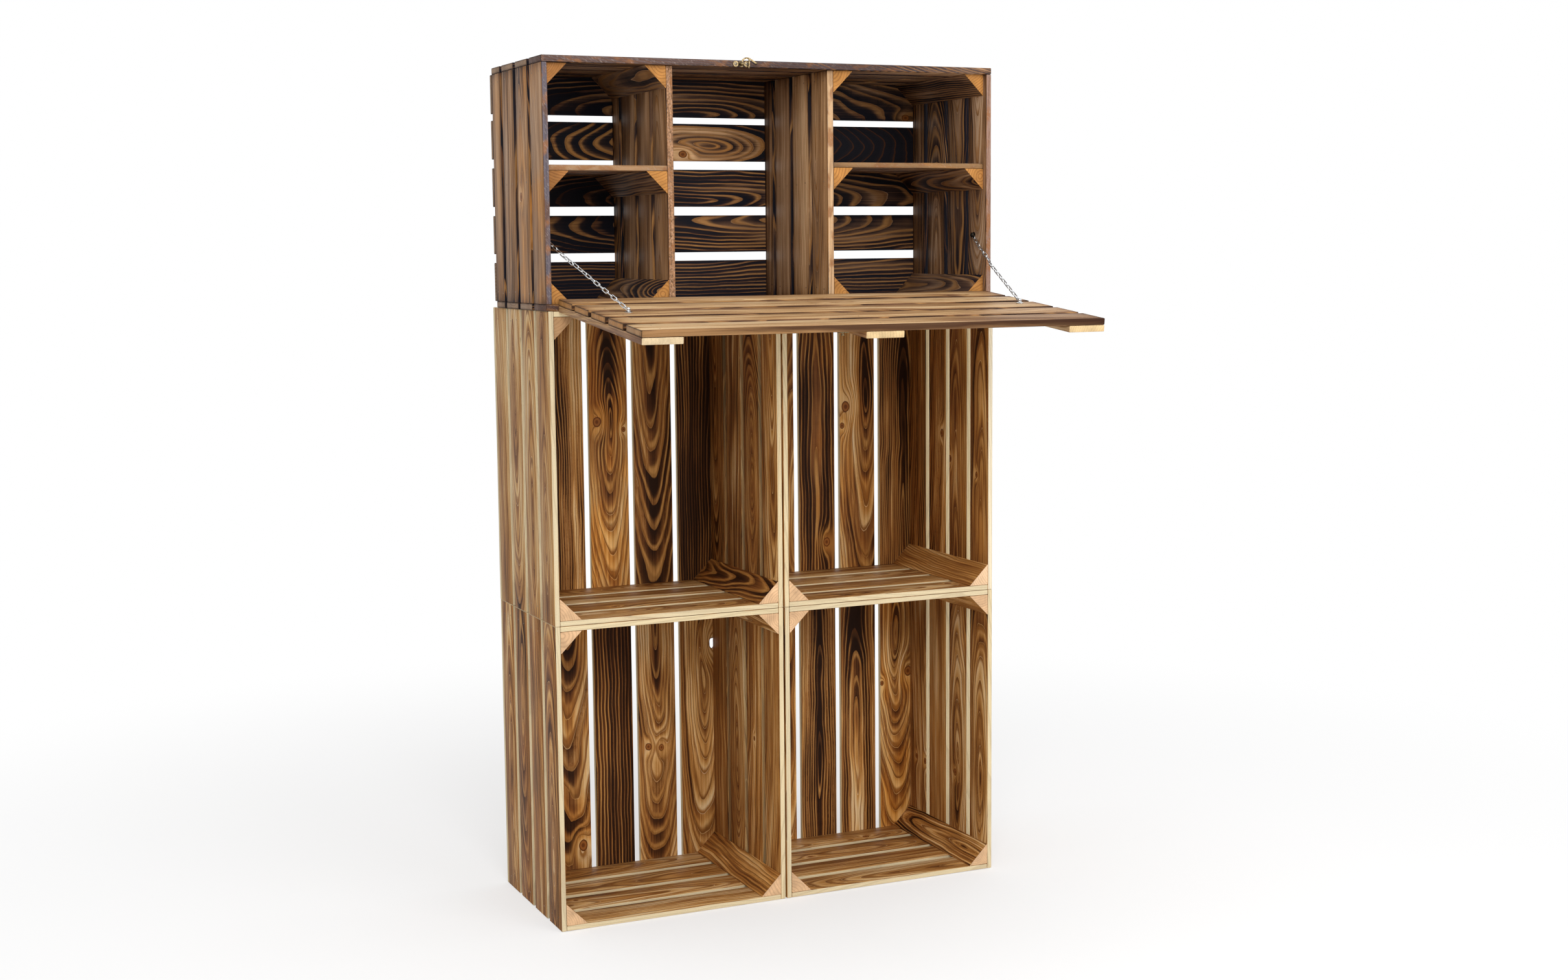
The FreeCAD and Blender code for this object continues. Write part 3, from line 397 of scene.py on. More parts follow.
# Looks set board by board from the photo, over what is drawn at random: node, then the number
# of the board from its panel's low side. In millimetres: ring is the mean ring width, pith and
# depth say where the heart lies beside and behind the board, and knots are (across, along,
# radius) in the row frame. slope and lean are how the heart runs and how the burn leans across.
# tilt and bow change the burn along the board, core_low and core_high burn the heart at its
# ends. raw_low, raw_high, end_raw and paint make the sawn edges and ends, cork mottles them.
OWN = {
    "upper_left_back_slats": {
        0: dict(burn=0.45),
        1: dict(burn=0.46, contrast=1.2, lean=-0.2, pith=-17, depth=9, slope=0.02, ring=4.6,
                core_low=0.55, core_high=0.7),
        2: dict(burn=0.4, contrast=0.9, pith=3, depth=10, slope=-0.16, ring=5, tone=0.04,
                amber=0.7, core_low=-0.1, core_high=0.75,
                knots=((-221.3, 798.2, 7.5), (-172.6, 783.4, 3.8))),
        3: dict(burn=0.57, contrast=1, pith=0, depth=40, slope=-0.12, ring=5.8, core_low=0.25,
                core_high=0.5),
        4: dict(burn=1, contrast=0.6, pith=34, depth=16, slope=0.03, ring=5),
    },
    "lower_left_back_slats": {
        0: dict(burn=0.45),
        1: dict(burn=0.48, contrast=1.1, pith=0, depth=46, slope=-0.17, ring=7, amber=0.55,
                tilt=0.06, lean=-0.12, core_low=0.1, core_high=0.35, knots=((-262.2, 49.8, 8),)),
        2: dict(burn=0.95, contrast=0.5, pith=-80, depth=22, slope=0.01, ring=6.2, amber=0.3),
        3: dict(burn=0.38, contrast=1.2, pith=0, depth=26, slope=-0.13, ring=5, core_low=0.12,
                core_high=0.4, knots=((-136.1, 213.9, 5.5), (-111.2, 210.1, 5.5))),
        4: dict(burn=0.46, contrast=1.1, pith=8, depth=18, slope=-0.13, ring=4.6, core_low=-0.1,
                core_high=0.25, knots=((-9.6, 390.5, 9),)),
    },
    "upper_right_back_slats": {
        0: dict(burn=0.45),
        1: dict(burn=0.55, contrast=0.8, pith=40, depth=20),
        2: dict(burn=0.86, contrast=0.7, pith=0, depth=14, slope=0.05, ring=6.4, core_low=-0.3,
                core_high=-0.3, amber=0.4, knots=((218.8, 558.8, 7),)),
        3: dict(burn=0.4, contrast=1, lean=0.16, pith=16, depth=14, slope=-0.15, ring=5.4,
                core_low=-0.05, core_high=0.55, amber=0.5,
                knots=((259.2, 805.6, 8), (251.6, 771, 5))),
        4: dict(burn=0.68, contrast=0.9, pith=14, depth=14, slope=0.03, ring=4.4, core_high=0.45),
    },
    "lower_right_back_slats": {
        0: dict(burn=0.45),
        1: dict(burn=0.5, contrast=1, pith=22, depth=18),
        2: dict(burn=0.56, contrast=1, pith=2, depth=12, slope=0.04, ring=4.8, core_low=0.45,
                core_high=0.55),
        3: dict(burn=0.56, contrast=1.1, pith=-2, depth=12, slope=0.06, ring=5.2, core_low=-0.2,
                core_high=0.55),
        4: dict(burn=0.38, contrast=1.1, pith=-2, depth=30, slope=-0.2, ring=5, tone=0.02,
                amber=0.8, core_high=0.3, knots=((386.1, 302.8, 8.5), (331.8, 284.2, 4))),
    },
    "upper_left_left_side": {
        # A lower tone darkens these outer boards: painted shade on the crate's outer left side.
        0: dict(burn=0.41, tone=-0.11, core_low=0.1, core_high=0.1, depth=14, slope=0.1, pith=4,
                ring=5, amber=0),
        1: dict(burn=0.31, tone=-0.11, core_low=0.2, core_high=0.2, depth=14, slope=0.12, pith=-4,
                ring=5.6, amber=0),
        2: dict(burn=0.29, tone=-0.1, core_low=0.2, core_high=0.2, depth=18, slope=-0.14, pith=6,
                ring=5.2, amber=0),
        3: dict(burn=0.36, tone=-0.1, pith=60, ring=5, amber=0),
    },
    "lower_left_left_side": {
        # A lower tone and a higher burn darken these outer boards: partly their burn, partly painted shade on the
        # crate's outer left side.
        0: dict(burn=0.53, tone=-0.08, slope=0.12, pith=4, depth=18, amber=0.3),
        1: dict(burn=0.55, tone=-0.08, amber=0.4),
        2: dict(burn=0.56, tone=-0.08, slope=-0.12, pith=2, depth=20, amber=0.3),
        3: dict(burn=0.57, tone=-0.08, amber=0.4),
    },
    "upper_left_right_side": {
        0: dict(burn=0.44, raw_low=1, raw_high=0.25),
        1: dict(burn=0.42, pith=0, depth=14, slope=0.14, ring=4, **FRESH_EDGES),
        2: dict(burn=0.5, **FRESH_EDGES),
        3: dict(burn=0.56, raw_low=0.5, raw_high=0.5, paint="9C8058"),
    },
    "upper_right_right_side": {
        # Their burn is set a little higher, which partly paints the shade on this wall inside the crate.
        0: dict(burn=0.5, tone=0.05, amber=0.25, paint="DCCFB4", knots=((-109, 697.5, 4),)),
        1: dict(burn=0.53, tone=0.05, amber=0.25, knots=((-14.1, 717.8, 5),)),
        2: dict(burn=0.52, tone=0.06, amber=0.25, knots=((17.5, 761, 6),)),
        3: dict(burn=0.58, tone=0.06),
    },
    "lower_right_right_side": {
        0: dict(burn=0.38, contrast=1.1, pith=-6, depth=14, slope=0.13),
        1: dict(burn=0.38, contrast=1.1, pith=0, depth=12, slope=0.14, knots=((-33.3, 147.7, 5),)),
        2: dict(burn=0.34, contrast=0.7, pith=60),
        3: dict(burn=0.36, knots=((114.5, 144.8, 4), (81.7, 142.2, 4.5))),
    },
    "lower_left_right_side": {
        0: dict(burn=0.44, raw_low=1, raw_high=0.25),
        1: dict(burn=0.42, knots=((-42.5, 255, 3.5),), **FRESH_EDGES),
        2: dict(burn=0.38, contrast=0.8, pith=0, depth=9, slope=0.14, ring=4, **FRESH_EDGES),
        3: dict(burn=0.46, raw_low=0.5, raw_high=0.5, paint="9C8058"),
    },
    "lower_left_corner_posts": {2: dict(burn=0.36, tone=0.1, pith=60, depth=40)},
    "lower_right_corner_posts": {2: dict(burn=0.5, contrast=1.4, tone=0.06, pith=0, depth=8,
                                         slope=0.1, ring=3.6)},
    "upper_left_corner_posts": {
        # Post 1's end paint is darker: a painted shadow of the flap, which falls on it.
        1: dict(paint="A9845E"),
        2: dict(burn=0.66, contrast=1, ring=4.6),
    },
    "upper_right_corner_posts": {2: dict(paint="E0BC96", burn=0.38, contrast=0.4, pith=70)},
    "left_blocks": {
        # Blocks 1 and 2 have darker end paint: painted shade on their ends.
        1: dict(paint="A06C3A"),
        2: dict(paint="A8713C"),
    },
    "box_back_boards": {
        0: dict(burn=0.84, contrast=0.7, ring=5.6, tilt=-0.2, pith=50),
        1: dict(burn=0.82, contrast=1, pith=24, depth=16, ring=5.8, tilt=-0.22),
        2: dict(burn=0.8, contrast=1.1, pith=-20, depth=12, ring=6.2, slope=0.16, tilt=-0.22),
        3: dict(burn=0.63, contrast=1.4, tilt=1.1, bow=2.2, pith=-4, depth=14, ring=6.6,
                slope=0.26, tone=0.2, knots=((1257.1, -62.8, 6.5),)),
        4: dict(burn=0.82, contrast=1.1, tilt=-0.22, pith=-26, depth=14, ring=7, slope=0.15,
                knots=((1326.2, 371.6, 6),)),
    },
    "box_top_boards": {
        0: dict(burn=0.46, raw_low=0.78, paint="5E4D49", contrast=1.3, edge_burn=0.45, pith=-33,
                depth=60, slope=0.24, tilt=-0.24, ring=4.2, edge_grain=1.4),
        1: dict(burn=0.5),
        2: dict(burn=0.55),
        3: dict(burn=0.55),
    },
    "box_bottom_boards": {0: dict(burn=0.5, raw_low=0.8, paint="594036", edge_grain=1.8,
                                  edge_burn=0.35)},
    "box_left_side": {
        0: dict(burn=0.34, raw_low=0.95, paint="625A60", contrast=0.7, amber=0.9, edge_grain=1.8,
                pith=40, depth=12, tone=-0.03),
        1: dict(burn=0.3, contrast=0.8, knots=((-30, 1180, 5),), amber=0.8, pith=8, depth=12,
                slope=0.06, tone=0.02),
        2: dict(burn=0.48, contrast=0.9, ring=5, pith=50, amber=0.4, tone=-0.06),
        3: dict(burn=0.38, contrast=0.6, pith=-60, amber=0.3),
    },
    "box_right_side": {
        0: dict(burn=0.34, raw_low=0.95, paint="9A7968"),
        1: dict(burn=0.5),
        2: dict(burn=0.58, pith=0, slope=0.14),
        3: dict(burn=0.5),
    },
    "left_divider": {
        0: dict(burn=0.34, raw_low=0.95, paint="A07A5C", contrast=0.6, tone=0.1, cork=3.2),
        1: dict(burn=0.32, ring=6, contrast=0.8, tone=0.06, pith=60),
        2: dict(burn=0.35, ring=6, contrast=0.8, tone=0.06),
        3: dict(burn=0.55, tone=0.04),
    },
    "right_divider": {
        0: dict(burn=0.24, raw_low=0.95, paint="C2A07C", contrast=0.8, tone=0.2, amber=0.1),
        1: dict(burn=0.14, ring=5.6, contrast=0.8, tone=0.18, amber=0),
        2: dict(burn=0.16, contrast=0.7, tone=0.02, pith=60),
        3: dict(burn=0.5, tone=-0.02),
    },
    "left_shelf": {0: dict(burn=0.34, raw_low=0.8, paint="AC8762", pith=50)},
    "right_shelf": {0: dict(burn=0.4, raw_low=0.7, paint="A47E55", pith=50)},
    "flap_board_1": {0: dict(burn=0.26, contrast=1, pith=20, depth=10)},
    "flap_board_2": {0: dict(burn=0.22, contrast=1, pith=0, depth=8, slope=0.05)},
    "flap_board_3": {0: dict(burn=0.3, contrast=0.9, pith=40, depth=20)},
    "flap_board_4": {0: dict(burn=0.22, contrast=0.9, pith=-40, depth=12)},
    "flap_board_5": {0: dict(burn=0.24, contrast=1.1, raw_high=0.65, paint="A27A50", tilt=0.3,
                             pith=46, depth=16, slope=0.02)},
    "flap_cleat_left": {0: dict(paint="C5AF8C", edge_burn=0, end_raw=1, burn=0.45,
                                edge_grain=0.05)},
    "flap_cleat_middle": {0: dict(paint="CDB184", edge_burn=0, end_raw=1, edge_grain=0.25)},
    "flap_cleat_right": {0: dict(paint="CDB184", edge_burn=0, end_raw=1, edge_grain=0.25)},
}


HOLE = dict(x=-9.6 * MM, height=390.5 * MM, half_width=6.6 * MM, half_height=10.0 * MM)
HOLED_BOARD = ("lower_left_back_slats", 4)
NOTCHED_BOARD = ("box_bottom_boards", 0)
SQUARE = {("box_top_boards", 3): (1,), ("box_bottom_boards", 3): (0,),
          ("box_back_boards", 4): (1,), ("box_back_boards", 0): (2,)}
# The crate floors burn less than the other crate boards, so they are lighter: painted light on their top faces,
# which catch light from above.
CRATE_FLOOR_PAINTED_LIGHT = dict(burn=0.29, contrast=0.9, tone=-0.04)


# -------------------------------------------------------- the wooden pieces
def panels():
    """Every wooden node with its kind and the world axes of its boards, none for posts.

    The axes are those of length, width and thickness, from the grain and the thin axis.
    """
    rows = []
    for crate in ("lower_left_", "lower_right_", "upper_left_", "upper_right_"):
        rows += [(crate + part, "crate", grain, thin) for part, grain, thin in (
            ("left_side", 2, 0), ("right_side", 2, 0), ("bottom_end", 0, 2), ("top_end", 0, 2),
            ("back_slats", 2, 1))]
        rows.append((crate + "corner_posts", "post", None, None))
    for node in ("box_bottom_boards", "box_top_boards", "left_shelf", "right_shelf"):
        rows.append((node, "box", 0, 2))
    for node in ("box_left_side", "box_right_side", "left_divider", "right_divider"):
        rows.append((node, "box", 2, 0))
    rows.append(("box_back_boards", "box", 0, 1))
    rows += [(node, "block", None, None) for node in ("left_blocks", "right_blocks")]
    rows += [("flap_board_%d" % number, "flap", 0, 1) for number in range(1, 6)]
    rows += [("flap_cleat_" + side, "flap", 2, 1) for side in FLAP_CLEATS]
    return [(node, kind, None if grain is None else (grain, 3 - grain - thin, thin))
            for node, kind, grain, thin in rows]


def knuckle_notches(low, high):
    """Cuts for the hinge knuckles in the front board of the box floor."""
    centre_x = (low[0] + high[0]) / 2
    depth = HINGE_POINT.y + KNUCKLE_REACH - low[1]
    height = high[2] - (HINGE_POINT.z - KNUCKLE_REACH)
    return [(leaf[:, 0].min() - centre_x - KNUCKLE_GAP, leaf[:, 0].max() - centre_x + KNUCKLE_GAP,
             depth, height) for leaf in islands("hinge_box_leaves")]


def build_wood(materials):
    """Makes the wooden pieces; returns (node, kind, axes, low, high) of each board."""
    placed = []
    for order, (node, kind, axes) in enumerate(panels()):
        rng = random.Random(1000 + order)
        on_flap = kind == "flap"
        solids = islands(node, TO_CLOSED if on_flap else None)
        if axes is None:
            solids.sort(key=lambda s: (round(s[:, 0].mean(), 3), round(s[:, 2].mean(), 3)))
        else:
            solids.sort(key=lambda s: s[:, axes[1]].min())
        wood = Wood()
        own_looks = OWN.get(node, {})
        for number, solid in enumerate(solids):
            low, high = Vector(solid.min(0)), Vector(solid.max(0))
            centre, half = (low + high) / 2, (high - low) / 2
            # the crate floors take a lighter look, which is painted light on their top faces
            floor_painted_light = CRATE_FLOOR_PAINTED_LIGHT if node.endswith("bottom_end") else {}
            look = make_look(rng, kind, floor_painted_light | own_looks.get(number, {}))
            if axes is None:
                set_knots(look, centre[1], 0.0, rng, 0.0, half[1], 0.01)
                post(wood, solid, look, rng)
                continue
            a, b, _ = axes
            chance = 0.0 if number in own_looks else KNOT_CHANCE
            set_knots(look, centre[a], centre[b], rng, chance, half[a], half[b])
            if (node, number) == HOLED_BOARD:
                board_with_hole(wood, low, high, axes, look)
            else:
                notches = knuckle_notches(low, high) if (node, number) == NOTCHED_BOARD else ()
                board(wood, low, high, axes, look, rng, notches, SQUARE.get((node, number), ()))
            placed.append((node, kind, axes, low, high))
        piece = wood.piece(node + "_wood", materials[kind], TO_OPEN if on_flap else None)
        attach(piece, "flap" if on_flap else "cabinet")
        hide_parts(node)
        kind + "_wood"
    return placed


# ------------------------------------------------------------------- nails
def nail_heads(name, places, body, material, to_world=None):
    """Small round heads; places are (point on the face, outward direction)."""
    points, faces = [], []
    for index, (place, out) in enumerate(places):
        side = out.orthogonal().normalized()
        other = out.cross(side)
        radius = NAIL_RADIUS * (0.92 + 0.16 * ((index * 7) % 5) / 5)
        start = len(points)
        for lift, share in NAIL_RINGS:
            for k in range(NAIL_STEPS):
                t = TURN * k / NAIL_STEPS
                flat = (side * math.cos(t) + other * math.sin(t)) * radius * share
                points.append(list(place + flat + out * lift))
        for base in (start, start + NAIL_STEPS):
            for k in range(NAIL_STEPS):
                n = (k + 1) % NAIL_STEPS
                faces.append([base + k, base + n, base + NAIL_STEPS + n, base + NAIL_STEPS + k])
        faces.append([start + 2 * NAIL_STEPS + k for k in range(NAIL_STEPS)])
        faces.append([start + k for k in reversed(range(NAIL_STEPS))])
    mesh = bpy.data.meshes.new(name)
    mesh.from_pydata(points, [], faces)
    piece = add_piece(name, mesh, material, to_world)
    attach(piece, body)


def nail_pair(low, high, axes, along, outward, rng):
    """Two nails side by side across a board at a place along it, on the outward face."""
    a, b, c = axes
    middle, half = (low[b] + high[b]) / 2, (high[b] - low[b]) / 2
    result = []
    for share in (-0.52, 0.50):
        point, direction = Vector((0, 0, 0)), Vector((0, 0, 0))
        point[a] = along + rng.uniform(-2.5, 2.5) * MM
        point[b] = middle + half * share + rng.uniform(-2, 2) * MM
        point[c] = (high[c] if outward > 0 else low[c]) - outward * (SKIN + NAIL_SUNK)
        direction[c] = outward
        result.append((point, direction))
    return result


def nail_rows(node, kind, low, high):
    """Places along a board where nails go in."""
    if kind == "crate":
        return [low + 19 * MM, high - 19 * MM]
    if node.endswith("shelf"):
        return [low + 12 * MM, high - 12 * MM]
    if node.endswith("divider"):
        return [low + 18 * MM, SHELF_NAILS, high - 14 * MM]
    rows = [low + 15 * MM, high - 15 * MM]
    return rows + [SHELF_NAILS] if node in ("box_left_side", "box_right_side") else rows


def build_nails(placed, material):
    rng = random.Random(77)
    cleats = [islands("flap_cleat_" + side, TO_CLOSED)[0][:, 0] for side in FLAP_CLEATS]
    nails = {"crate": [], "box": [], "flap": []}
    for node, kind, axes, low, high in placed:
        part = node.split("_", 2)[2] if kind == "crate" else node
        outward = -1 if part in NAILED_FROM_LOW_SIDE else 1
        rows = nail_rows(node, kind, low[axes[0]], high[axes[0]])
        if kind == "flap":
            rows = [(xs.min() + xs.max()) / 2 for xs in cleats if "board" in node]
        for along in rows:
            nails[kind] += nail_pair(low, high, axes, along, outward, rng)
    nail_heads("crate_nails", nails["crate"], "cabinet", material)
    nail_heads("box_nails", nails["box"], "cabinet", material)
    nail_heads("flap_nails", nails["flap"], "flap", material, TO_OPEN)


# --------------------------------------------------------------- materials
class Value:
    """A shader output that can stand in a sum: every sign adds a math node."""

    def __init__(self, graph, socket):
        self.graph, self.socket = graph, socket

    def __add__(self, other):
        return self.graph.math("ADD", self, other)

    def __mul__(self, other):
        return self.graph.math("MULTIPLY", self, other)

    __radd__, __rmul__ = __add__, __mul__

    def __sub__(self, other):
        return self.graph.math("SUBTRACT", self, other)

    def __rsub__(self, other):
        return self.graph.math("SUBTRACT", other, self)

    def __truediv__(self, other):
        return self.graph.math("DIVIDE", self, other)

    def __abs__(self):
        return self.graph.math("ABSOLUTE", self)


class Graph:
    """Short calls that add nodes to the empty tree of a material or the world."""

    def __init__(self, owner):
        owner.use_nodes = True
        self.owner, self.tree = owner, owner.node_tree
        self.tree.nodes.clear()

    def feed(self, value, socket):
        """Sets or links an input; a string is a colour's hex code."""
        if isinstance(value, str):
            value = colour(value)
        if isinstance(value, Value):
            self.tree.links.new(value.socket, socket)
        else:
            socket.default_value = value

    def add(self, kind, settings=None, *values, **named):
        """A node with settings, and inputs given by place or by name."""
        node = self.tree.nodes.new(kind)
        for key, value in (settings or {}).items():
            setattr(node, key, value)
        for value, socket in zip(values, node.inputs):
            self.feed(value, socket)
        for key, value in named.items():
            self.feed(value, node.inputs[key.replace("_", " ")])
        return node

    def outputs(self, kind, settings=None, *values, **named):
        """The outputs of a new node, as a list in the node's order."""
        return [Value(self, out) for out in self.add(kind, settings, *values, **named).outputs]

    def math(self, operation, *values):
        return self.outputs("ShaderNodeMath", {"operation": operation}, *values)[0]

    def vector(self, operation, *values):
        return self.outputs("ShaderNodeVectorMath", {"operation": operation}, *values)[0]

    def least(self, first, second):
        return self.math("MINIMUM", first, second)

    def most(self, first, second):
        return self.math("MAXIMUM", first, second)

    def exp(self, value):
        return self.math("EXPONENT", value)

    def attribute(self, name):
        return self.outputs("ShaderNodeAttribute", {"attribute_type": "GEOMETRY",
                                                    "attribute_name": name})[1]

    def object_place(self):
        return Value(self, self.add("ShaderNodeTexCoord").outputs["Object"])

    def split(self, vector):
        return self.outputs("ShaderNodeSeparateXYZ", None, vector)

    def join(self, x, y, z):
        return self.outputs("ShaderNodeCombineXYZ", None, x, y, z)[0]

    def noise(self, vector, scale=1.0, detail=2.0, roughness=0.5):
        return self.outputs("ShaderNodeTexNoise", None, Vector=vector, Scale=scale,
                            Detail=detail, Roughness=roughness)[0]

    def between(self, value, low, high, start=0.0, end=1.0):
        """From start to end while the value goes from low to high."""
        return self.outputs("ShaderNodeMapRange", {"interpolation_type": "SMOOTHSTEP"},
                            value, low, high, start, end)[0]

    def ramp(self, value, stops):
        node = self.add("ShaderNodeValToRGB", None, value)
        elements = node.color_ramp.elements
        while len(elements) < len(stops):
            elements.new(0.5)
        for element, (place, code) in zip(elements, stops):
            element.position, element.color = place, colour(code)
        return Value(self, node.outputs["Color"])

    def mix(self, share, first, second, blend="MIX"):
        node = self.add("ShaderNodeMix", {"data_type": "RGBA", "blend_type": blend}, share)
        self.feed(first, node.inputs[6])
        self.feed(second, node.inputs[7])
        return Value(self, node.outputs[2])

    def direct(self):
        """1 for the rays that must see a white studio: from camera, mirror and glass."""
        path = self.add("ShaderNodeLightPath").outputs
        camera, mirror, glass = (Value(self, path["Is %s Ray" % name])
                                 for name in ("Camera", "Glossy", "Transmission"))
        return self.most(self.most(camera, mirror), glass)

    def finish(self, shader, kind="ShaderNodeOutputMaterial"):
        self.add(kind, None, shader)
        return self.owner

    def surface(self, relief, bump, distance, **inputs):
        """Ends a material with a principled shader that has some relief."""
        normal = self.outputs("ShaderNodeBump", None, Strength=bump, Distance=distance,
                              Height=relief)[0]
        return self.finish(self.outputs("ShaderNodeBsdfPrincipled", None, Normal=normal,
                                        **inputs)[0])


def stops(codes, *places):
    """Colours of a ramp from 0 to 1, with the places of those between the ends."""
    return tuple(zip((0.0, *places, 1.0), codes.split()))


# Noise in the wood: stretch along and across the grain, offset, detail, roughness.
SLOW, SWAY, MIDDLE = (3.6, 9.0, 0.0), (6.5, 14.0, 9.0), (14.0, 60.0, 17.0)
PATCHES, SPINDLE = (5.0, 20.0, 31.0, 3.0), (7.0, 3.0, 43.0)
STREAKS, FIBRES = (4.0, 380.0, 5.0, 1.0), (22.0, 1300.0, 3.0, 2.0, 0.65)
RESIN, SMOKE, RUST = (9.0, 26.0, 57.0), (30.0, 42.0, 71.0), (34.0, 60.0, 83.0)
SPECK, MOTTLE = (420.0, 1100.0, 1100.0), (300.0, 420.0, 420.0)
KNOT_RAMP = stops("2E180B 6E3D1A 9A5E2A 6A3B1A 2C1609 1E0F06", 0.16, 0.55, 0.74, 0.86)
SAWN = (0.8 * MM, 0.3 * MM)         # a point this near a board's edge is on the sawn edge
END = (0.9 * MM, 0.3 * MM)          # and this near its end, on the end grain


def flamed_wood(name, early, late, gloss):
    """Softwood torched and brushed: its broad early rings burn dark, late rings stay light."""
    g = Graph(bpy.data.materials.new(name))
    place, paint = g.attribute("place"), g.attribute("edge_paint")
    u, v, w = g.split(place)
    half_u, half_v, half_w = g.split(g.attribute("half"))
    own = SimpleNamespace()
    for layer, keys in LAYERS.items():
        vars(own).update(zip(keys, g.split(g.attribute(layer))))
    shift = g.join(own.seed * 3.7, own.seed * 1.3, own.seed)

    def drawn(along, across, offset, detail=2.0, roughness=0.5):
        """Noise stretched along the grain, between about -0.35 and 0.35."""
        stretched = g.vector("MULTIPLY", place, (along, across, across))
        moved = g.vector("ADD", g.vector("ADD", stretched, shift), (offset, offset, offset))
        return g.noise(moved, 1.0, detail, roughness) - 0.5

    def blotches(stretch, detail):
        return g.noise(g.vector("MULTIPLY", place, stretch), 1.0, detail, 0.6) - 0.5

    slow, sway, middle, patches = drawn(*SLOW), drawn(*SWAY), drawn(*MIDDLE), drawn(*PATCHES)
    streaks, fibres, speck = drawn(*STREAKS), drawn(*FIBRES), blotches(SPECK, 3.0)

    # growth rings: circles round the heart, which pass round the knots
    across, hill, knot_share, knot_ring, halo = v, 0.0, 0.0, 9.0, 0.0
    for label in ("knot_a", "knot_b"):
        knot_u, knot_v, knot_r = g.split(g.attribute(label))
        du, dv = u - knot_u, v - knot_v
        size = g.most(knot_r, 1e-5)
        reach = size * 2.2
        flat_u, knot_u = du * 0.5, du * 0.8
        pull = g.exp((flat_u * flat_u + dv * dv) / (reach * reach * -1.0))
        across = across - dv * pull
        hill = pull * knot_r * 1.5 + hill
        radius = g.math("SQRT", knot_u * knot_u + dv * dv) / size * (middle * 0.9 + 1.0)
        knot_share = g.most(knot_share, g.between(radius, 1.06, 0.92))
        knot_ring = g.least(knot_ring, radius)
        halo = g.most(halo, g.between(radius, 4.2, 1.0))
    side = across - own.pith + sway * 0.014
    below = (own.depth + own.slope * u) + (w + slow * 0.034)
    count = (g.math("SQRT", side * side + below * below) + hill) / own.ring + middle * 0.34
    phase = g.math("FRACT", count)
    ring_noise = g.outputs("ShaderNodeTexWhiteNoise", {"noise_dimensions": "2D"},
                           Vector=g.join(g.math("FLOOR", count), own.seed, 0.0))[1]
    chance_a, chance_b, _ = g.split(ring_noise)
    start = chance_a * 0.30 + 0.40
    late_ring = g.between(phase, start, start + 0.24) * g.between(phase, 1.0, 0.95)

    # how far the torch went: ring by ring and in patches, along the board and across it,
    # in spindles along the heart, at the edges and ends, and in streaks
    along_rings = g.noise(g.join(count * 0.40, u * 4.0, own.seed), 1.0, 2.0, 0.55)
    field = ((along_rings - 0.5) * 1.4 + patches * 0.7 + (chance_b - 0.5) * 0.30
             + (0.45 - phase) * 0.34)
    height = u / half_u
    torch = (own.burn + field * own.contrast + own.tilt * height + own.bow * (height * height)
             + own.lean * (v / half_v))
    heart = side / g.most(drawn(*SPINDLE) * 0.022 + 0.012, 0.002)
    core = own.core_low + (own.core_high - own.core_low) * g.between(height, -0.6, 0.6)
    low_edge, high_edge = half_v + v, half_v - v
    to_edge, to_face, to_end = g.least(low_edge, high_edge), half_w - abs(w), half_u - abs(u)
    ragged = patches * 1.6 + 1.0
    torch = torch + g.exp(heart * heart * -1.0) * core
    torch = torch + g.exp(to_edge * -300.0) * ragged * own.edge_burn
    torch = torch + g.exp(to_end * -110.0) * ragged * (own.edge_burn * 0.7)
    torch = torch - halo * 0.22 + streaks * 0.40

    base = g.mix(late_ring, g.ramp(torch, early), g.ramp(torch, late))
    line = g.between(phase, 0.80, 0.90) * g.between(phase, 1.0, 0.96)
    base = g.mix(line * 0.40, base, "5A3518")
    base = g.mix(1.0, base, tint(g, fibres, 1.0, own.tone), "MULTIPLY")
    golden = g.mix(1.0, base, (1.16, 0.92, 0.50, 1.0), "MULTIPLY")
    base = g.mix(g.between(drawn(*RESIN), -0.12, 0.16) * own.amber, base, golden)

    # knots: dark rim, red-brown heart with rings of their own, and a warm halo
    knot = g.ramp(knot_ring * 0.82 + g.math("SINE", knot_ring * 17.0) * 0.09, KNOT_RAMP)
    base = g.mix(halo * 0.40, base, g.mix(0.5, base, "C08338"))
    base = g.mix(knot_share, base, knot)

    # sawn edges: fresh wood that fades where the burn is tilted, with saw marks and rust
    fade = g.least(g.most(1.0 - abs(own.tilt) * (height * 2.6), 0.0), 1.3)
    low_raw = g.between(low_edge, *SAWN) * (fade * own.raw_low)
    high_raw = g.between(high_edge, *SAWN) * (fade * own.raw_high)
    saw = (streaks * own.edge_grain + speck * 0.35 + blotches(MOTTLE, 2.0) * own.cork
           + fibres * 0.35)
    raw_wood = g.mix(late_ring * (own.edge_grain * 0.5 + 0.15), paint,
                     g.mix(0.6, paint, "5C3A20"))
    raw_wood = g.mix(1.0, raw_wood, tint(g, saw, 0.9, own.tone * 0.4), "MULTIPLY")
    slant = g.join((u + w * 1.3) * 640.0, (u - w) * 110.0, own.seed)
    strokes = g.between(g.noise(slant, 1.0, 2.0, 0.6), 0.55, 0.75)
    rough_sawn = own.raw_low * own.edge_burn
    rusty = g.between(drawn(*RUST), 0.02, 0.16)
    raw_wood = g.mix(rusty * (rough_sawn * 1.6), raw_wood, "96643C")
    raw_wood = g.mix(strokes * (rough_sawn * 1.5), raw_wood, "AFA299")
    corner = (g.between(to_face + speck * 0.0006, 0.9 * MM, 0.0)
              * (own.edge_burn * 1.2 + 0.25))
    raw_wood = g.mix(corner, raw_wood, "3A2414")
    base = g.mix(g.least(low_raw + high_raw, 1.0), base, raw_wood)

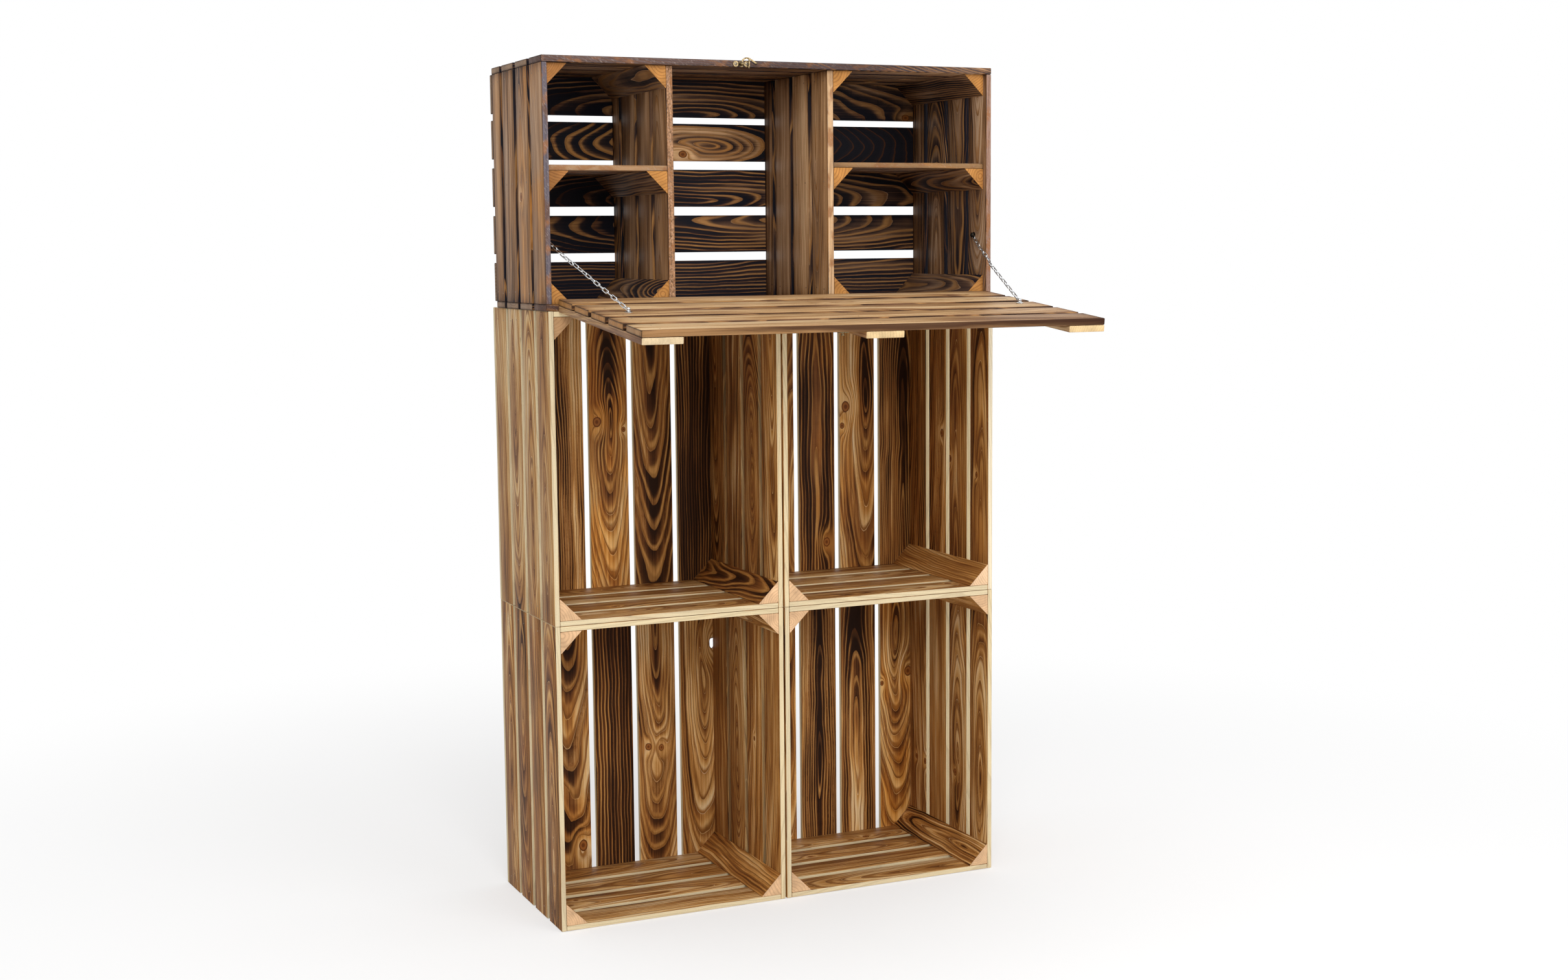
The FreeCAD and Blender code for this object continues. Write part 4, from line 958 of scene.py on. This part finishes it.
    # soot on one side of a board whose burn is strongly tilted, such as the flap's front board
    sooty = g.between((half_w - w) + patches * 0.026, 11.5 * MM, 3.0 * MM)
    sooty = sooty * g.between(height, -0.85, -0.35, 0.1, 1.0) * g.between(own.tilt, 0.25, 0.30)
    sooty = sooty * g.between(high_edge, 1.4 * MM, 0.6 * MM)
    base = g.mix(sooty * 0.85, base, "33190E")

    # end grain: arcs of the rings, smoke, and a charred rim
    arcs = late_ring * (own.edge_grain * 0.62 + 0.06)
    end_wood = g.mix(arcs, paint, g.mix(0.70, paint, "5E3216"))
    smoke = speck * 0.75 + drawn(*SMOKE) * 0.9
    end_wood = g.mix(1.0, end_wood, tint(g, smoke, 1.0, 0.0), "MULTIPLY")
    char = g.between(g.least(to_face, to_edge), 3.4 * MM, 0.3 * MM) * (own.edge_burn * 1.7)
    end_wood = g.mix(g.least(char, 1.0), end_wood, "2A190F")
    base = g.mix(g.between(to_end, *END) * own.end_raw, base, end_wood)

    rough = g.between(torch, 0.45, 1.0) * 0.12 + gloss + fibres * 0.25
    relief = late_ring * g.between(torch, 0.2, 0.8) + fibres * 0.6
    return g.surface(relief, 0.45, 0.00035, Base_Color=base, Roughness=rough,
                     Specular_IOR_Level=0.09)


def tint(g, noise, strength, tone):
    """A grey multiplier around 1 from noise and the board's own tone."""
    value = 1.0 + tone + noise * strength
    return g.join(value + tone * 0.25, value, value - tone * 0.8)


def metal(name, light, dark, roughness, grime=0.5, bump=0.15):
    """Worn plated metal: two tones in fine blotches, scratches and uneven gloss."""
    g = Graph(bpy.data.materials.new(name))
    place = g.object_place()
    blotches = g.noise(place, 420.0, 4.0, 0.6)
    fine = g.noise(g.vector("MULTIPLY", place, (2600.0, 900.0, 2600.0)), 1.0, 2.0, 0.5)
    base = g.mix(g.between(blotches, 0.42, 0.66) * grime, light, dark)
    return g.surface(blotches + fine * 0.4, bump, 0.0001, Metallic=1.0,
                     Base_Color=g.mix(fine * 0.25, base, dark),
                     Roughness=(blotches - 0.5) * 0.35 + roughness)


# Colours of early and late rings, from hardly burnt to black, and the gloss.
CRATE_RINGS = (stops("E6CB9E D8B076 BE8A4B 87552A 4A2A13 27150A", 0.20, 0.38, 0.55, 0.76),
               stops("A87540 88582A 9C6832 BE8C4E 8A5C30 472B16", 0.25, 0.45, 0.66, 0.86))
BOX_RINGS = (stops("CFB192 B69271 957457 5F4636 2B2021 16161F", 0.22, 0.40, 0.58, 0.78),
             stops("AD8258 946C46 A07548 AB7D4C 6C4A36 1D1920", 0.28, 0.50, 0.70, 0.88))
FLAP_RINGS = (stops("D6BB95 C2A27A A98560 7A5840 4E3526 33231A", 0.20, 0.38, 0.56, 0.78),
              stops("AE8A62 9A7449 A67F55 A57C50 745238 3B281D", 0.25, 0.45, 0.65, 0.86))
WOODS = {"crate": (*CRATE_RINGS, 0.50), "post": (*CRATE_RINGS, 0.52), "box": (*BOX_RINGS, 0.48),
         "block": (*BOX_RINGS, 0.50), "flap": (*FLAP_RINGS, 0.46)}
METALS = {  # light tone, dark tone, roughness, then grime and bump where they are strong
    "hinge_steel": ("A7A29A", "6F6A62", 0.38),
    "latch_brass": ("94815F", "32281B", 0.33, 0.9, 0.3),
    "chain_steel": ("DDE0E2", "9A9C9E", 0.27),
    "dark_screws": ("3A3733", "1C1A18", 0.42),
    "screw_steel": ("8A8070", "4F463B", 0.40),
}


# ------------------------------------------------------- stage, light, camera
FLOOR_REACH = 14.0
FLOOR_DROP = 0.0005         # the floor lies a little lower than the cabinet's feet
WHITE_FROM, WHITE_TO = 0.7, 2.2     # distance from the middle where the floor turns white
WHITE_SHARE = 0.45          # how white it is under the cabinet, where the shadow must show
FILL = 0.58
LIGHTS = {                  # place, target, size, watts
    "key": ((-1.3, -3.9, 2.8), (0.0, 0.0, 0.8), (2.2, 2.2), 84.0),
    "front": ((1.6, -3.8, 1.7), (0.0, 0.0, 0.7), (2.4, 2.4), 50.0),
    "top": ((0.0, -0.6, 3.6), (0.0, -0.1, 0.8), (2.6, 2.0), 30.0),
}
CAMERA_PLACE = (-1.4088, -3.2659, 1.0985)
CAMERA_YAW, CAMERA_PITCH, CAMERA_ROLL = (math.radians(x) for x in (24.359, 6.696, 0.526))
CAMERA_LENS, CAMERA_SENSOR = 47.73, 36.0


def build_floor():
    g = Graph(bpy.data.materials.new("stage_floor"))
    place = g.object_place()
    base = g.mix(g.noise(place, 1.2, 2.0, 0.5) * 0.10, "FDFDFD", "F6F6F6")
    shaded = g.outputs("ShaderNodeBsdfPrincipled", None, Base_Color=base, Roughness=0.9,
                       Specular_IOR_Level=0.1)[0]
    distance = g.outputs("ShaderNodeVectorMath", {"operation": "LENGTH"}, place)[1]
    away = g.between(distance, WHITE_FROM, WHITE_TO, WHITE_SHARE, 1.0)
    white = g.outputs("ShaderNodeEmission", None, Color=(1.0, 1.0, 1.0, 1.0), Strength=1.0)[0]
    mesh = bpy.data.meshes.new("floor")
    corners = [(x * FLOOR_REACH, y * FLOOR_REACH, 0)
               for x, y in ((-1, -1), (1, -1), (1, 1), (-1, 1))]
    mesh.from_pydata(corners, [], [(0, 1, 2, 3)])
    mesh.materials.append(g.finish(g.outputs("ShaderNodeMixShader", None, g.direct() * away,
                                             shaded, white)[0]))
    floor = bpy.data.objects.new("floor", mesh)
    floor.location.z = -FLOOR_DROP
    bpy.context.scene.collection.objects.link(floor)


def build_world():
    g = Graph(bpy.data.worlds.new("studio"))
    fill, white = (g.outputs("ShaderNodeBackground", None, (1.0, 1.0, 1.0, 1.0), strength)[0]
                   for strength in (FILL, 1.0))
    mixed = g.outputs("ShaderNodeMixShader", None, g.direct(), fill, white)[0]
    bpy.context.scene.world = g.finish(mixed, "ShaderNodeOutputWorld")


def build_lights():
    for name, (place, target, size, watts) in LIGHTS.items():
        data = bpy.data.lights.new(name, "AREA")
        data.shape = "RECTANGLE"
        data.size, data.size_y = size
        data.energy = watts
        lamp = bpy.data.objects.new(name, data)
        lamp.location = place
        lamp.rotation_euler = (Vector(target) - Vector(place)).to_track_quat("-Z", "Y").to_euler()
        bpy.context.scene.collection.objects.link(lamp)


def build_camera():
    data = bpy.data.cameras.new("camera")
    data.sensor_fit = "HORIZONTAL"
    data.sensor_width, data.lens, data.clip_end = CAMERA_SENSOR, CAMERA_LENS, 60.0
    camera = bpy.data.objects.new("camera", data)
    turn = (Matrix.Rotation(-CAMERA_YAW, 4, "Z")
            @ Matrix.Rotation(math.pi / 2 - CAMERA_PITCH, 4, "X")
            @ Matrix.Rotation(-CAMERA_ROLL, 4, "Z"))
    camera.matrix_world = Matrix.Translation(CAMERA_PLACE) @ turn
    bpy.context.scene.collection.objects.link(camera)
    bpy.context.scene.camera = camera


# --------------------------------------------------------------- all of it
def main():
    bpy.context.scene.view_settings.view_transform = "Standard"
    build_camera()
    build_floor()
    build_world()
    build_lights()
    woods = {kind: flamed_wood(kind + "_wood", *look) for kind, look in WOODS.items()}
    metals = {name: metal(name, *look) for name, look in METALS.items()}
    build_nails(build_wood(woods), metals["screw_steel"])
    for row in frame["record"]["subparts"]:
        if row["material_slot"] in metals:
            materials = NODES[row["node"]].data.materials
            materials.clear()
            materials.append(metals[row["material_slot"]])


main()
